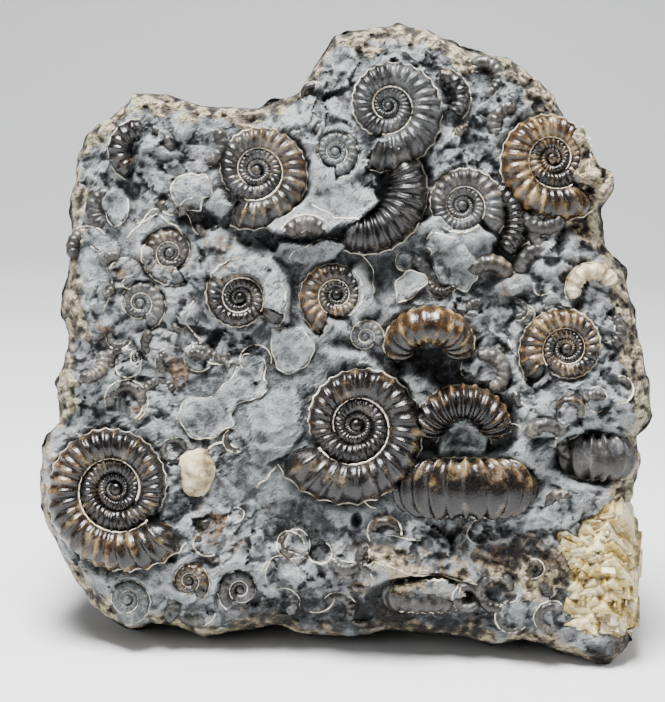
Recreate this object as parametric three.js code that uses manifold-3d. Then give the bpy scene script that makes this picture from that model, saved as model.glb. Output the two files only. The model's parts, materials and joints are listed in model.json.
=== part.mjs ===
// Ammonite fossil cluster: a hand-sized block of grey limestone, cut flat underneath so that it
// stands by itself, with ribbed ammonites standing out of its front and honey calcite crystals
// grown over its lower right corner.
// Millimetres, +Z up. The front faces -Y, and the origin is under the middle of the block.
//
// The front is described in a face frame: s runs to the right, t up along the leaning front, and n
// out of it. Every fossil is placed by its s, t and n in that frame.

import * as THREE from 'three';
import { mergeVertices } from 'three/addons/utils/BufferGeometryUtils.js';
import Module from 'manifold-3d';

const wasm = await Module();
wasm.setup();

const rad = THREE.MathUtils.degToRad;
const lerp = THREE.MathUtils.lerp;

// Driving dimensions

const LEAN = rad(10); // the front leans back
const ROLL = rad(2.1); // the face frame is turned a little against the base
const BASE_CUT = 0.8; // the base is cut this far above the face frame's zero
const BACK_AT = 50; // the upright back, behind the foot of the front
const CENTRE_X = -0.89; // middle of the finished block, measured from the face frame's zero
const CENTRE_Y = 25.5;

const RIM_DEPTH = 9; // the widest outline lies this far behind the front
const RIM_DEPTH_LOW_LEFT = 9; // and this much further behind it at the lower left
const RIM_REACH = 9; // width of the rounded border inside the outline
const RIM_SPREAD = 1.023; // the outline grows with its depth, away from the middle of the front
const FACE_MIDDLE = [-2.3, 63.4];
const FACE_SIZE = [116, 118]; // mean width and height, for distances from the rim
const COLUMNS = 19;
const ROWS = 20;

const GAP = 0.3; // clearance between a fossil and its seat
const SEAT_DEPTH = 2.5; // a coil goes this far into the stone below its middle plane
const ABOVE = 25; // a seat's cutter ends this far in front of the face

// Outline of the block seen from the front, as four sides that meet at its corners

const LEFT_SIDE = [
  [-52.4, 14.6], [-55, 18.2], [-58.6, 25.4], [-60.4, 29], [-61.2, 33.6], [-61.2, 38.2],
  [-60.6, 43.8], [-59, 47], [-57.2, 49], [-57.6, 56.2], [-56, 63.4], [-55.4, 67], [-56.8, 72.8],
  [-55, 78.6], [-55, 84.2], [-54.2, 88], [-54.4, 94.6], [-53, 102.4], [-52, 105], [-48.8, 108.8],
];
const RIGHT_SIDE = [
  [52.2, 0], [55.8, 3.4], [57, 5], [56.4, 9], [58.2, 12.6], [55.6, 19.2], [53.6, 27.4], [54.2, 30],
  [57.8, 34.6], [58.2, 37.6], [59.4, 41.3], [58.4, 46], [61.2, 51], [61, 56.6], [59.6, 63.4],
  [58.2, 68.4], [56.8, 75.4], [55.4, 80], [52.2, 83.8], [50.6, 91.8], [52, 95.4], [49.2, 100.6],
  [46.4, 106.2], [43.8, 109.8], [41.4, 114.6],
];
const LOWER_SIDE = [
  [-52.4, 14.6], [-50.4, 11.6], [-47.2, 9], [-42.8, 6.7], [-38.6, 8.2], [-33.4, 7.4], [-27.8, 5.2],
  [-21.6, 6.4], [-13.4, 7.8], [-8.4, 6], [1.4, 5.4], [9.2, 7], [20, 6.4], [30.2, 4.4], [35.8, 5.4],
  [45, 2.4], [52.2, 0],
];
const UPPER_SIDE = [
  [-48.8, 108.8], [-42.8, 112.8], [-41.6, 114.6], [-34, 114.4], [-28.4, 112.2], [-16.8, 111.4],
  [-9, 115], [-5, 121], [-1.4, 126], [9.4, 128.2], [16.4, 127.4], [23.4, 123.2], [32.2, 121.8],
  [37.2, 118.4], [41.4, 114.6],
];

// Swells and hollows of the stone's front: middle, half-widths along s and t, turn, and rise

const RELIEF = [
  { at: [9, 106], half: [17, 20], turn: 0, rise: 2.2 }, // the raised top
  { at: [-3, 96], half: [10, 5], turn: 20, rise: 1.8 }, // flat shoulder inside the body chamber
  { at: [2, 82], half: [15, 8], turn: 0, rise: -2.4 }, // smooth basin under it
  { at: [-30, 95], half: [6, 5], turn: 0, rise: 1.6 }, // grey lump, upper left
  { at: [49, 95], half: [5, 5], turn: 0, rise: 3.2 }, // cream bump on the right shoulder
  { at: [26, 84], half: [8, 5], turn: -20, rise: 2.4 }, // lump under the upper right coil
  { at: [42, 52], half: [8, 5], turn: 0, rise: 1.8 }, // round lumps, right
  { at: [-13, 49], half: [7, 8], turn: 0, rise: 2 }, // slab left of the centre
  { at: [17, 60], half: [9, 5], turn: 0, rise: -2 }, // hollow under the amber ammonite
  { at: [24, 45], half: [8, 4], turn: 0, rise: -1.5 },
  { at: [45, 33], half: [9, 6], turn: -15, rise: 1.8 }, // shoulder above the crystals
  { at: [10, 19.5], half: [22, 4], turn: -3, rise: 3 }, // the long ledge
  { at: [8, 9], half: [26, 5], turn: -2, rise: -4.5 }, // shadowed undercut below it
  { at: [38, 11], half: [7, 6], turn: 0, rise: 2.2 }, // grey lumps beside the crystals
  { at: [-12, 29], half: [9, 8], turn: 0, rise: -1.4 },
  { at: [-40, 15], half: [12, 8], turn: 0, rise: 1.2 },
  { at: [-36, 58], half: [14, 12], turn: 0, rise: -1 },
];

// Fossils seen on their side. A coil's outer radius shrinks by growth with each turn back from its
// aperture, and hand is +1 where going back from the aperture goes counter-clockwise.

const COILS = [
  { name: 'ammonite_top', at: [8.6, 112, 2.4], radius: 13, growth: 2.2, turns: 1.7, steps: 26,
    hand: 1, aperture: -110, colour: '#3b3430' },
  { name: 'ammonite_upper_left', at: [-17.4, 99.4, 0.9], radius: 12, growth: 1.9, turns: 1.8,
    steps: 24, hand: 1, aperture: -120, colour: '#3a2a1e' },
  { name: 'ammonite_upper_right', at: [23.5, 92.3, 1.6], radius: 9, growth: 1.9, turns: 1.7,
    steps: 20, hand: 1, aperture: -40, colour: '#564a44' },
  { name: 'ammonite_right_shoulder', at: [41.6, 101.8, 0], radius: 13, growth: 2, turns: 1.7,
    steps: 26, hand: -1, aperture: -47, tilt: [0, 8], colour: '#6b4a24' },
  { name: 'ammonite_small_pale', at: [-1.8, 103.4, 1.6], radius: 5, growth: 1.9, turns: 1.5,
    steps: 16, hand: 1, aperture: -90, colour: '#a39c8c' },
  { name: 'ammonite_middle_brown', at: [-1.5, 74.6, -0.4], radius: 8.2, growth: 2, turns: 1.5,
    steps: 18, hand: -1, aperture: 250, colour: '#5a3a26' },
  { name: 'ammonite_middle_grey', at: [4.2, 66.2, 0], radius: 3.8, growth: 2, turns: 1.4,
    steps: 14, hand: 1, aperture: -30, colour: '#74767a' },
  { name: 'ammonite_middle_left', at: [-20.8, 74, 0.6], radius: 9.6, growth: 1.9, turns: 1.7,
    steps: 20, hand: 1, aperture: -40, colour: '#2e2824' },
  { name: 'ammonite_right', at: [44.4, 63.8, 0.6], radius: 9.9, growth: 1.9, turns: 1.7, steps: 20,
    hand: -1, aperture: -133, colour: '#6a4a26' },
  { name: 'ammonite_centre', at: [2.4, 48.6, 1.2], radius: 17.4, growth: 2, turns: 1.9, steps: 28,
    hand: 1, aperture: -157, colour: '#33261d' },
  { name: 'ammonite_lower_left', at: [-45.7, 35.8, 0.4], radius: 17.6, growth: 1.9, turns: 2,
    steps: 28, hand: -1, aperture: -33, tilt: [0, -9], colour: '#3a2c1e' },
  { name: 'ammonite_low_brown', at: [-31, 17.4, 0.6], radius: 4.2, growth: 2, turns: 1.4, steps: 14,
    hand: 1, aperture: -60, colour: '#5d4029' },
  { name: 'ammonite_low_grey', at: [-20.8, 15.6, 0], radius: 4.5, growth: 2, turns: 1.4, steps: 14,
    hand: -1, aperture: -120, colour: '#6a6a6c' },
  { name: 'ammonite_left_rings', at: [-40.8, 73, 0], radius: 5.5, growth: 2, turns: 1.4, steps: 16,
    hand: 1, aperture: -70, colour: '#6b5a48' },
  { name: 'ammonite_left_crystal', at: [-34.8, 83, 0], radius: 6.5, growth: 2, turns: 1.5,
    steps: 16, hand: -1, aperture: -60, colour: '#6a5038' },
  { name: 'ammonite_bottom_left', at: [-43.4, 13.6, 0.4], radius: 5, growth: 2, turns: 1.4,
    steps: 14, hand: 1, aperture: -100, colour: '#77797c' },
];

// Fossils of which a stretch of whorl shows. The whorl follows an arc of radius arc from one angle
// to the other. Turned by tilt about s, 90 degrees shows it on its edge.

const WHORLS = [
  { name: 'whorl_body_chamber', at: [3.6, 95.6, 1.6], arc: 9, across: 3.9, high: 4, from: -128,
    to: 32, ribs: 9, tip: 0.8, tilt: 0, colour: '#3a3634' },
  { name: 'whorl_beside_upper_right', at: [26, 88.8, 0.4], arc: 8.2, across: 2.1, high: 2.4,
    from: -42, to: 58, ribs: 7, tip: 0.8, tilt: 0, colour: '#26221f' },
  { name: 'whorl_beside_top', at: [18.6, 113.6, 1.2], arc: 4.6, across: 1.8, high: 2.2, from: -40,
    to: 85, ribs: 4, tip: 0.8, tilt: 0, colour: '#3a3736' },
  { name: 'whorl_upper_left', at: [-40.4, 103.2, 0.6], arc: 4.4, across: 2.1, high: 2.3, from: 90,
    to: 240, ribs: 5, tip: 0.8, tilt: 0, colour: '#2b2623' },
  { name: 'whorl_cream_right', at: [49.8, 75.4, -0.2], arc: 3.9, across: 1.6, high: 1.8, from: 20,
    to: 200, ribs: 5, tip: 0.8, tilt: 0, colour: '#c9c1b0' },
  { name: 'ammonite_amber', at: [17, 63.4, 0.6], arc: 5.6, across: 3.4, high: 3.8, from: -20,
    to: 200, ribs: 9, tip: 0.75, tilt: 45, colour: '#8a5a1e' },
  { name: 'ammonite_lower_right', at: [23.6, 47, -0.2], arc: 6.6, across: 3.2, high: 3.4, from: -5,
    to: 185, ribs: 9, tip: 0.75, tilt: 25, colour: '#3a281c' },
  { name: 'ammonite_edge_on', at: [24.2, 36, -8.6], arc: 10.6, across: 4.8, high: 5.5, from: 10,
    to: 170, ribs: 10, tip: 0.8, tilt: 90, colour: '#352519' },
  { name: 'ammonite_edge_grey', at: [50.8, 42, -7.4], arc: 5.4, across: 3.3, high: 4, from: 12,
    to: 168, ribs: 6, tip: 0.8, tilt: 90, colour: '#4c535e' },
  { name: 'whorl_under_ledge', at: [16.4, 14, -9.6], arc: 7, across: 3, high: 3.2, from: 15,
    to: 165, ribs: 7, tip: 0.8, tilt: 90, colour: '#2c2b2b' },
];

// Calcite: the corner that the crystals cover, and each crystal's middle, size and turns

const CRYSTAL_CORNER = [
  [41.2, 26.6], [44.6, 17.6], [45.4, 13], [47, 6.4], [50, 4.2], [55, 4.4], [62, 5.5], [63, 16],
  [60, 28.5], [51, 29], [46, 28.4],
];
const CRYSTAL_BED = -16; // depth of the crystals' bed behind the face
const CRYSTALS = [
  { at: [44.8, 25, -1.6], size: 5, turns: [20, 35, 10] },
  { at: [49.4, 26, -2.4], size: 5.4, turns: [40, 15, 50] },
  { at: [53, 23.4, -5.6], size: 5.2, turns: [15, 45, 30] },
  { at: [48, 20.6, -1.2], size: 6, turns: [55, 20, 15] },
  { at: [50.6, 15, -0.8], size: 5.6, turns: [12, 8, 4] },
  { at: [54.6, 14.6, -4.6], size: 5.6, turns: [30, 50, 20] },
  { at: [48.6, 9.8, -1.8], size: 5, turns: [25, 30, 60] },
  { at: [53.4, 8.6, -4], size: 5.4, turns: [48, 12, 35] },
  { at: [54, 19, -4.6], size: 5, turns: [5, 38, 62] },
  { at: [55.6, 25, -10], size: 6, turns: [35, 25, 15] },
  { at: [57, 19.6, -10], size: 6.2, turns: [15, 50, 40] },
  { at: [57.6, 14, -9.6], size: 6.4, turns: [60, 15, 25] },
  { at: [56.4, 8.6, -10], size: 6, turns: [40, 40, 10] },
  { at: [53, 27, -12], size: 5.4, turns: [10, 30, 55] },
];

const NODULE = { at: [-29.4, 39.4, 0.2], half: [3.9, 4.9, 2.6], turn: 10 };

const COLOURS = { matrix: '#6f757d', crystals: '#c9ad6b', nodule: '#d8ccb4' };

// Small helpers

const finish = (colour, roughness = 0.6) =>
  new THREE.MeshStandardMaterial({ color: colour, roughness, metalness: 0, flatShading: true });

function geometryOf(points, faces) {
  const geometry = new THREE.BufferGeometry();
  geometry.setAttribute('position', new THREE.Float32BufferAttribute(points.flat(), 3));
  geometry.setIndex(faces.flat());
  return geometry;
}

function solidOf(geometry) {
  const bare = geometry.clone();
  bare.deleteAttribute('normal');
  bare.deleteAttribute('uv');
  const merged = mergeVertices(bare, 1e-4);
  return new wasm.Manifold(new wasm.Mesh({
    numProp: 3,
    vertProperties: merged.getAttribute('position').array,
    triVerts: new Uint32Array(merged.index.array),
  }));
}

function geometryOfSolid(solid) {
  const mesh = solid.getMesh();
  const geometry = new THREE.BufferGeometry();
  geometry.setAttribute('position', new THREE.BufferAttribute(mesh.vertProperties, 3));
  geometry.setIndex(new THREE.BufferAttribute(mesh.triVerts, 1));
  return geometry;
}

// Closed prism over an outline in the face frame, from one depth to another.
function prismGeometry(outline, low, high) {
  const shape = new THREE.Shape(outline.map(([s, t]) => new THREE.Vector2(s, t)));
  return new THREE.ExtrudeGeometry(shape, { depth: high - low, bevelEnabled: false })
    .translate(0, 0, low);
}

// Point at a share of a side's length, on the straight stretches between its points.
function alongSide(side, share) {
  const lengths = side.slice(1).map((p, i) => Math.hypot(p[0] - side[i][0], p[1] - side[i][1]));
  let left = share * lengths.reduce((sum, length) => sum + length, 0);
  let i = 0;
  while (i < lengths.length - 1 && left > lengths[i]) left -= lengths[i++];
  const part = Math.min(left / lengths[i], 1);
  return [0, 1].map((k) => lerp(side[i][k], side[i + 1][k], part));
}

// The front of the stone

function reliefAt(s, t) {
  return RELIEF.reduce((sum, { at, half, turn, rise }) => {
    const c = Math.cos(rad(turn));
    const d = Math.sin(rad(turn));
    const x = ((s - at[0]) * c + (t - at[1]) * d) / half[0];
    const y = ((t - at[1]) * c - (s - at[0]) * d) / half[1];
    return sum + rise * Math.exp(-((x * x + y * y) ** 1.5));
  }, 0);
}

// Coons patch: the point inside the four sides that each side pulls on, u across and v up.
function faceAt(u, v) {
  const [low, up] = [alongSide(LOWER_SIDE, u), alongSide(UPPER_SIDE, u)];
  const [left, right] = [alongSide(LEFT_SIDE, v), alongSide(RIGHT_SIDE, v)];
  const corners = [LOWER_SIDE[0], LOWER_SIDE.at(-1), UPPER_SIDE[0], UPPER_SIDE.at(-1)];
  return [0, 1].map((k) => {
    const flat = lerp(lerp(corners[0][k], corners[1][k], u), lerp(corners[2][k], corners[3][k], u), v);
    const spot = lerp(low[k], up[k], v) + lerp(left[k], right[k], u) - flat;
    return FACE_MIDDLE[k] + (spot - FACE_MIDDLE[k]) * RIM_SPREAD;
  });
}

const rimDepthAt = (u, v) => RIM_DEPTH + RIM_DEPTH_LOW_LEFT * (1 - u) * (1 - v) ** 2;

// The rim falls away behind the face along a quarter of an ellipse, and the relief dies out there.
function frontAt(u, v) {
  const [s, t] = faceAt(u, v);
  const across = Math.min(u, 1 - u) * FACE_SIZE[0];
  const up = Math.min(v, 1 - v) * FACE_SIZE[1];
  const inside = Math.min(Math.min(across, up) / RIM_REACH, 1);
  const fall = 1 - Math.sqrt(1 - (1 - inside) ** 2);
  return [s, t, reliefAt(s, t) * Math.sqrt(inside) - rimDepthAt(u, v) * fall];
}

// Depth of the upright back in the face frame.
const backAt = (s, t) =>
  ((s * Math.sin(ROLL) + t * Math.cos(ROLL)) * Math.sin(LEAN) - BACK_AT) / Math.cos(LEAN);

// The block: the front as a grid, then rings round it that go back and close over the rear.
function blockGeometry() {
  const points = [];
  const faces = [];
  const frontIndex = (i, j) => j * (COLUMNS + 1) + i;
  for (let j = 0; j <= ROWS; j++) {
    for (let i = 0; i <= COLUMNS; i++) points.push(frontAt(i / COLUMNS, j / ROWS));
  }
  for (let j = 0; j < ROWS; j++) {
    for (let i = 0; i < COLUMNS; i++) {
      const [a, b] = [frontIndex(i, j), frontIndex(i + 1, j)];
      const [c, d] = [frontIndex(i + 1, j + 1), frontIndex(i, j + 1)];
      faces.push([a, b, c], [a, c, d]);
    }
  }
  const border = [];
  for (let i = 0; i < COLUMNS; i++) border.push(frontIndex(i, 0));
  for (let j = 0; j < ROWS; j++) border.push(frontIndex(COLUMNS, j));
  for (let i = COLUMNS; i > 0; i--) border.push(frontIndex(i, ROWS));
  for (let j = ROWS; j > 0; j--) border.push(frontIndex(0, j));

  // Each ring: how far back between the rim and the back, how wide, and how rough
  const rings = [
    { back: 0.33, wide: 1.0, rough: 0.8 }, { back: 0.72, wide: 0.97, rough: 1.6 },
    { back: 0.96, wide: 0.9, rough: 1.4 }, { back: 1.02, wide: 0.6, rough: 1.8 },
  ];
  let ring = border;
  for (const [k, { back, wide, rough }] of rings.entries()) {
    const next = border.map((from) => {
      const [s, t, n] = points[from];
      const jag = rough * Math.sin(s * 0.31 + k * 1.7) * Math.cos(t * 0.27 + k * 2.9);
      const narrow = wide * (1 - Math.abs(jag) / FACE_SIZE[0]);
      const [x, y] = [s, t].map((value, q) => FACE_MIDDLE[q] + (value - FACE_MIDDLE[q]) * narrow);
      points.push([x, y, lerp(n, backAt(x, y), back) + (wide < 0.95 ? jag : 0)]);
      return points.length - 1;
    });
    ring.forEach((a, i) => {
      const j = (i + 1) % ring.length;
      faces.push([a, next[i], next[j]], [a, next[j], ring[j]]);
    });
    ring = next;
  }
  points.push([...FACE_MIDDLE, backAt(...FACE_MIDDLE) * 1.02]);
  ring.forEach((a, i) => faces.push([a, points.length - 1, ring[(i + 1) % ring.length]]));
  return geometryOf(points, faces);
}

// Height of a coil's side over its middle plane, as shares of the whorl's width and of its bulge
const COIL_SECTION = [[0, 0.45], [0.3, 0.95], [0.74, 1], [1, 0.45]];
const SMALL_SECTION = [[0, 0.45], [0.52, 1], [1, 0.45]];
const SMALL = 18; // coils of fewer steps a turn have the simpler section
const BULGE = 0.86; // half the whorl's thickness against half its width
const RIB_FALL = 0.26; // how much lower the furrows between the ribs lie
const outerRadius = ({ radius, growth }, turnsBack) => radius * growth ** -turnsBack;

// A coil in its own plane. Stations go back from the aperture and hold the points of the section.
// One turn further back the outer edge is the seam of the turn outside it, so the turns share
// those points. Every other station is a rib. The underside is flat.
function coilGeometry(coil) {
  const { growth, turns, steps, hand, aperture } = coil;
  const last = Math.round(turns * steps);
  const section = steps < SMALL ? SMALL_SECTION : COIL_SECTION;
  const edge = section.length - 1;
  const points = [];
  const faces = [];
  const polar = (r, i, z) => {
    const angle = rad(aperture + (hand * 360 * i) / steps);
    return [r * Math.cos(angle), r * Math.sin(angle), z];
  };
  const own = new Map();
  const at = (i, k) => (k === 0 && i + steps <= last ? at(i + steps, edge) : own.get(i * 10 + k));
  for (let i = 0; i <= last; i++) {
    const outer = outerRadius(coil, i / steps);
    const width = outer - outer / growth;
    const rib = i % 2 ? 1 : 1 - RIB_FALL;
    section.forEach(([share, high], k) => {
      if (k === 0 && i + steps <= last) return;
      const wide = k === edge ? (1 + rib) / 2 : 1;
      own.set(i * 10 + k, points.length);
      points.push(polar(outer - width * (1 - share * wide), i, (high * BULGE * rib * width) / 2));
    });
  }
  const add = (a, b, c) => faces.push(hand > 0 ? [a, b, c] : [a, c, b]);
  for (let i = 0; i < last; i++) {
    for (let k = 0; k < edge; k++) {
      add(at(i, k), at(i, k + 1), at(i + 1, k + 1));
      add(at(i, k), at(i + 1, k + 1), at(i + 1, k));
    }
  }
  const foot = [];
  for (let i = 0; i <= steps; i++) {
    const [x, y] = points[at(i, edge)];
    foot.push(points.length);
    points.push([x, y, -SEAT_DEPTH]);
  }
  for (let i = 0; i < steps; i++) {
    add(foot[i], foot[i + 1], at(i + 1, edge));
    add(foot[i], at(i + 1, edge), at(i, edge));
  }
  for (let k = edge; k > 0; k--) add(foot[0], at(0, k), at(0, k - 1));
  add(foot[0], at(0, 0), foot[steps]);
  const under = points.push(polar(0.15 * coil.radius, steps / 4, -SEAT_DEPTH)) - 1;
  for (let i = 0; i < steps; i++) add(under, foot[i + 1], foot[i]);
  add(under, foot[0], foot[steps]);
  const inner = outerRadius(coil, last / steps);
  const middle = points.push(polar(0.2 * inner, last + steps / 4, 0.12 * inner)) - 1;
  const hole = [];
  for (let i = last - steps; i <= last; i++) hole.push(at(i, 0));
  for (let k = 1; k < edge; k++) hole.push(at(last, k));
  hole.forEach((a, i) => add(middle, a, hole[(i + 1) % hole.length]));
  return geometryOf(points, faces);
}

// Seat of a coil: a prism round its spiral outline.
function coilSeat(coil) {
  const corners = coil.steps < SMALL ? 8 : 12;
  const outline = [];
  for (let i = 0; i <= corners; i++) {
    const angle = rad(coil.aperture + (coil.hand * 360 * i) / corners);
    const r = outerRadius(coil, i / corners) / Math.cos(Math.PI / corners) + GAP;
    outline.push([r * Math.cos(angle), r * Math.sin(angle)]);
  }
  const ahead = rad(coil.aperture - coil.hand * 90);
  const step = [GAP * Math.cos(ahead), GAP * Math.sin(ahead)];
  for (const i of [0, corners]) outline[i] = outline[i].map((value, k) => value + step[k]);
  return prismGeometry(coil.hand > 0 ? outline : outline.reverse(), -SEAT_DEPTH - GAP, ABOVE);
}

// A whorl: an elliptic section carried along an arc in its own plane, with a rib at every other
// station and narrowing towards both ends. grow widens it for its seat.
function whorlGeometry({ arc, across, high, from, to, ribs, tip }, grow = 0) {
  const stations = grow ? ribs : ribs * 2;
  const sides = 7;
  const points = [];
  const faces = [];
  const overrun = grow / arc;
  for (let i = 0; i <= stations; i++) {
    const share = i / stations;
    const angle = lerp(rad(from) - overrun, rad(to) + overrun, share);
    const rib = grow || i % 2 ? 1 : 1 - RIB_FALL / 1.6;
    const narrow = lerp(tip, 1, Math.sin(Math.PI * share) ** 0.6) * rib;
    const reach = grow ? grow + 0.05 * across : 0;
    for (let j = 0; j < sides; j++) {
      const turn = (2 * Math.PI * (j + 0.5)) / sides;
      const r = arc + (across * narrow + reach) * Math.cos(turn);
      points.push([r * Math.cos(angle), r * Math.sin(angle), (high * narrow + reach) * Math.sin(turn)]);
    }
  }
  const at = (i, j) => i * sides + (j % sides);
  for (let i = 0; i < stations; i++) {
    for (let j = 0; j < sides; j++) {
      faces.push([at(i, j), at(i + 1, j), at(i + 1, j + 1)], [at(i, j), at(i + 1, j + 1), at(i, j + 1)]);
    }
  }
  for (let j = 1; j < sides - 1; j++) {
    faces.push([at(0, 0), at(0, j), at(0, j + 1)]);
    faces.push([at(stations, 0), at(stations, j + 1), at(stations, j)]);
  }
  return geometryOf(points, faces);
}

// Crystals grown together over the corner, kept to the corner's bed.
function crystalGeometry() {
  const bed = CRYSTAL_CORNER.map(([s, t]) => [lerp(s, 50, 0.45), lerp(t, 16.6, 0.12)]);
  let crust = solidOf(prismGeometry(bed, CRYSTAL_BED, -5));
  for (const { at, size, turns } of CRYSTALS) {
    const crystal = new THREE.BoxGeometry(size, size * 0.86, size * 1.3);
    crystal.applyMatrix4(new THREE.Matrix4().makeRotationFromEuler(new THREE.Euler(...turns.map(rad))));
    crust = crust.add(solidOf(crystal.translate(...at)));
  }
  return geometryOfSolid(crust.intersect(solidOf(prismGeometry(CRYSTAL_CORNER, CRYSTAL_BED, ABOVE))));
}

function noduleGeometry() {
  return new THREE.IcosahedronGeometry(1, 1).scale(...NODULE.half);
}

// Assembly

const cluster = new THREE.Group();
cluster.name = 'ammonite_fossil_cluster';
cluster.position.set(-CENTRE_X, -CENTRE_Y, -BASE_CUT);
const face = new THREE.Group();
face.rotation.set(Math.PI / 2 - LEAN, 0, ROLL);
cluster.add(face);

const seats = [];

// A piece keeps clear of the ones already in place: it is cut by each seat that reaches into it.
function clearOfSeats(geometry, matrix) {
  const toPiece = matrix.clone().invert();
  let solid = solidOf(geometry);
  let cut = false;
  for (const seat of seats) {
    const cutter = solidOf(seat.clone().applyMatrix4(toPiece));
    if (solid.intersect(cutter).isEmpty()) continue;
    solid = solid.subtract(cutter);
    cut = true;
  }
  return cut ? geometryOfSolid(solid) : geometry;
}

// Put a piece on the face, and keep its seat, placed the same way, for the cuts round it.
function place(name, geometry, seat, at, turns, material) {
  const mesh = new THREE.Mesh(geometry, material);
  mesh.name = name;
  mesh.position.set(...at);
  mesh.rotation.set(...turns.map(rad));
  mesh.updateMatrix();
  mesh.geometry = clearOfSeats(geometry, mesh.matrix);
  face.add(mesh);
  seats.push(seat.applyMatrix4(mesh.matrix));
}

for (const coil of COILS) {
  const turns = [...(coil.tilt ?? [0, 0]), 0];
  place(coil.name, coilGeometry(coil), coilSeat(coil), coil.at, turns, finish(coil.colour, 0.35));
}
for (const whorl of WHORLS) {
  const seat = whorlGeometry(whorl, GAP);
  place(whorl.name, whorlGeometry(whorl), seat, whorl.at, [whorl.tilt, 0, 0], finish(whorl.colour, 0.35));
}

const noduleSeat = noduleGeometry().scale(1.16, 1.13, 1.24);
place('calcite_nodule', noduleGeometry(), noduleSeat, NODULE.at, [0, 0, NODULE.turn],
  finish(COLOURS.nodule, 0.5));

const wideCorner = CRYSTAL_CORNER.map(([s, t]) => [
  s + GAP * Math.sign(s - 51.6) * 1.3, t + GAP * Math.sign(t - 16.6) * 1.3,
]);
const crystalSeat = prismGeometry(wideCorner, CRYSTAL_BED - GAP, ABOVE);
place('calcite_crystals', crystalGeometry(), crystalSeat, [0, 0, 0], [0, 0, 0],
  finish(COLOURS.crystals, 0.3));

// The stone: the block with every seat cut out of it, and its base cut flat.
function matrixGeometry() {
  let stone = solidOf(blockGeometry());
  for (const seat of seats) stone = stone.subtract(solidOf(seat));
  const ground = new THREE.BoxGeometry(400, 400, 100).translate(0, 0, BASE_CUT - 50);
  face.updateMatrix();
  ground.applyMatrix4(face.matrix.clone().invert());
  return geometryOfSolid(stone.subtract(solidOf(ground)));
}

const matrix = new THREE.Mesh(matrixGeometry(), finish(COLOURS.matrix, 0.85));
matrix.name = 'matrix';
face.add(matrix);

export default cluster;
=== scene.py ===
# %% [markdown]
# # An ammonite fossil cluster
# A hand-sized block of blue-grey limestone, full of small ribbed ammonites. The maker has cleaned the
# stone away from its front, so the shells stand out of it. The shells have turned to black-brown and
# honey calcite, a cream weathered crust is left round the rim, and calcite crystals grow over the lower
# right corner. This lesson builds the stone, the shells, the crystals and then their finishes.

# %% Load the fixed frame
import itertools
import json
import math

import bpy
import numpy as np
from mathutils import Matrix, Vector


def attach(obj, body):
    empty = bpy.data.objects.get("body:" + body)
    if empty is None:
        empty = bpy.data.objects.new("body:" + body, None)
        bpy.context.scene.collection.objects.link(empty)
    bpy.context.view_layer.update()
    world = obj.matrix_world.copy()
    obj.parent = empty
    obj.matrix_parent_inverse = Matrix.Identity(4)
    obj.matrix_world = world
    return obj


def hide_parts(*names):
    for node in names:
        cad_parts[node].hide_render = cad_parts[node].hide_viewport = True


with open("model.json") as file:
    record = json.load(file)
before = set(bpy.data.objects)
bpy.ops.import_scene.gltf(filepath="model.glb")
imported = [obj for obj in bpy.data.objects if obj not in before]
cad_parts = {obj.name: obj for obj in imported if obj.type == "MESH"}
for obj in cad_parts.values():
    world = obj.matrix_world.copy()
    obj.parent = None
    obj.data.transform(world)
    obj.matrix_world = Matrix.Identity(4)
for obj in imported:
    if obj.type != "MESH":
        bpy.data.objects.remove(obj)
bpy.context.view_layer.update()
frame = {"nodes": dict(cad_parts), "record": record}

print("solids in the frame:", len(frame["nodes"]))

# %% [markdown]
# ## The face frame
# Every fossil is placed on the front of the block by three numbers in millimetres: s to the right, t up
# along the front and n out of it. The front leans back a little, and it is turned a little against the
# base, so one function turns the face frame into the block's own metres.

# %% Face frame
MM = 0.001
LEAN = math.radians(10)
ROLL = math.radians(2.1)
BASE_CUT = 0.8
CENTRE_X = -0.89
CENTRE_Y = 25.5


def from_face(points):
    """Turn (s, t, n) by ROLL in the face, stand it up leaning back by LEAN, and move it over the base."""
    s, t, n = np.moveaxis(np.asarray(points, float), -1, 0)
    across = s * math.cos(ROLL) - t * math.sin(ROLL)
    up = s * math.sin(ROLL) + t * math.cos(ROLL)
    y = up * math.sin(LEAN) - n * math.cos(LEAN)
    z = up * math.cos(LEAN) + n * math.sin(LEAN)
    return np.stack([across - CENTRE_X, y - CENTRE_Y, z - BASE_CUT], -1) * MM


# %% [markdown]
# ## Stage, camera and light
# The picture was taken almost square to the front, from slightly above, by a camera that was rolled by
# about two degrees. The floor and the backdrop are one plain pale sheet. A large soft light overhead and
# a weaker one in front give the long soft highlights on the shells and dark undersides.

# %% Camera
VIEW_FROM = 390.0
VIEW_DOWN = math.radians(11)
LENS = 100.0
VIEW_MIDDLE = (-2.3, 63.4, 0.0)

target = Vector(from_face(VIEW_MIDDLE))
ahead = Vector((0, math.cos(VIEW_DOWN), -math.sin(VIEW_DOWN)))
level_right = Vector((1, 0, 0))
level_up = level_right.cross(ahead)
right = level_right * math.cos(ROLL) + level_up * math.sin(ROLL)
up = right.cross(ahead)
camera = bpy.data.objects.new("camera", bpy.data.cameras.new("camera"))
bpy.context.collection.objects.link(camera)
camera.data.lens = LENS
camera.data.clip_start = 0.01
camera.matrix_world = Matrix.Translation(target - ahead * VIEW_FROM * MM) @ Matrix(
    (right, up, -ahead)).transposed().to_4x4()
bpy.context.scene.camera = camera
print("camera at", [round(c, 3) for c in camera.location])

# %% Lights


def soft_light(name, place, size, power, aim=(0, 0, 0.06)):
    """A square soft light of the given size in metres, turned towards a point."""
    lamp = bpy.data.lights.new(name, "AREA")
    lamp.size = size
    lamp.energy = power
    thing = bpy.data.objects.new(name, lamp)
    bpy.context.collection.objects.link(thing)
    thing.location = place
    thing.rotation_euler = (Vector(aim) - Vector(place)).to_track_quat("-Z", "Y").to_euler()


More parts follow.
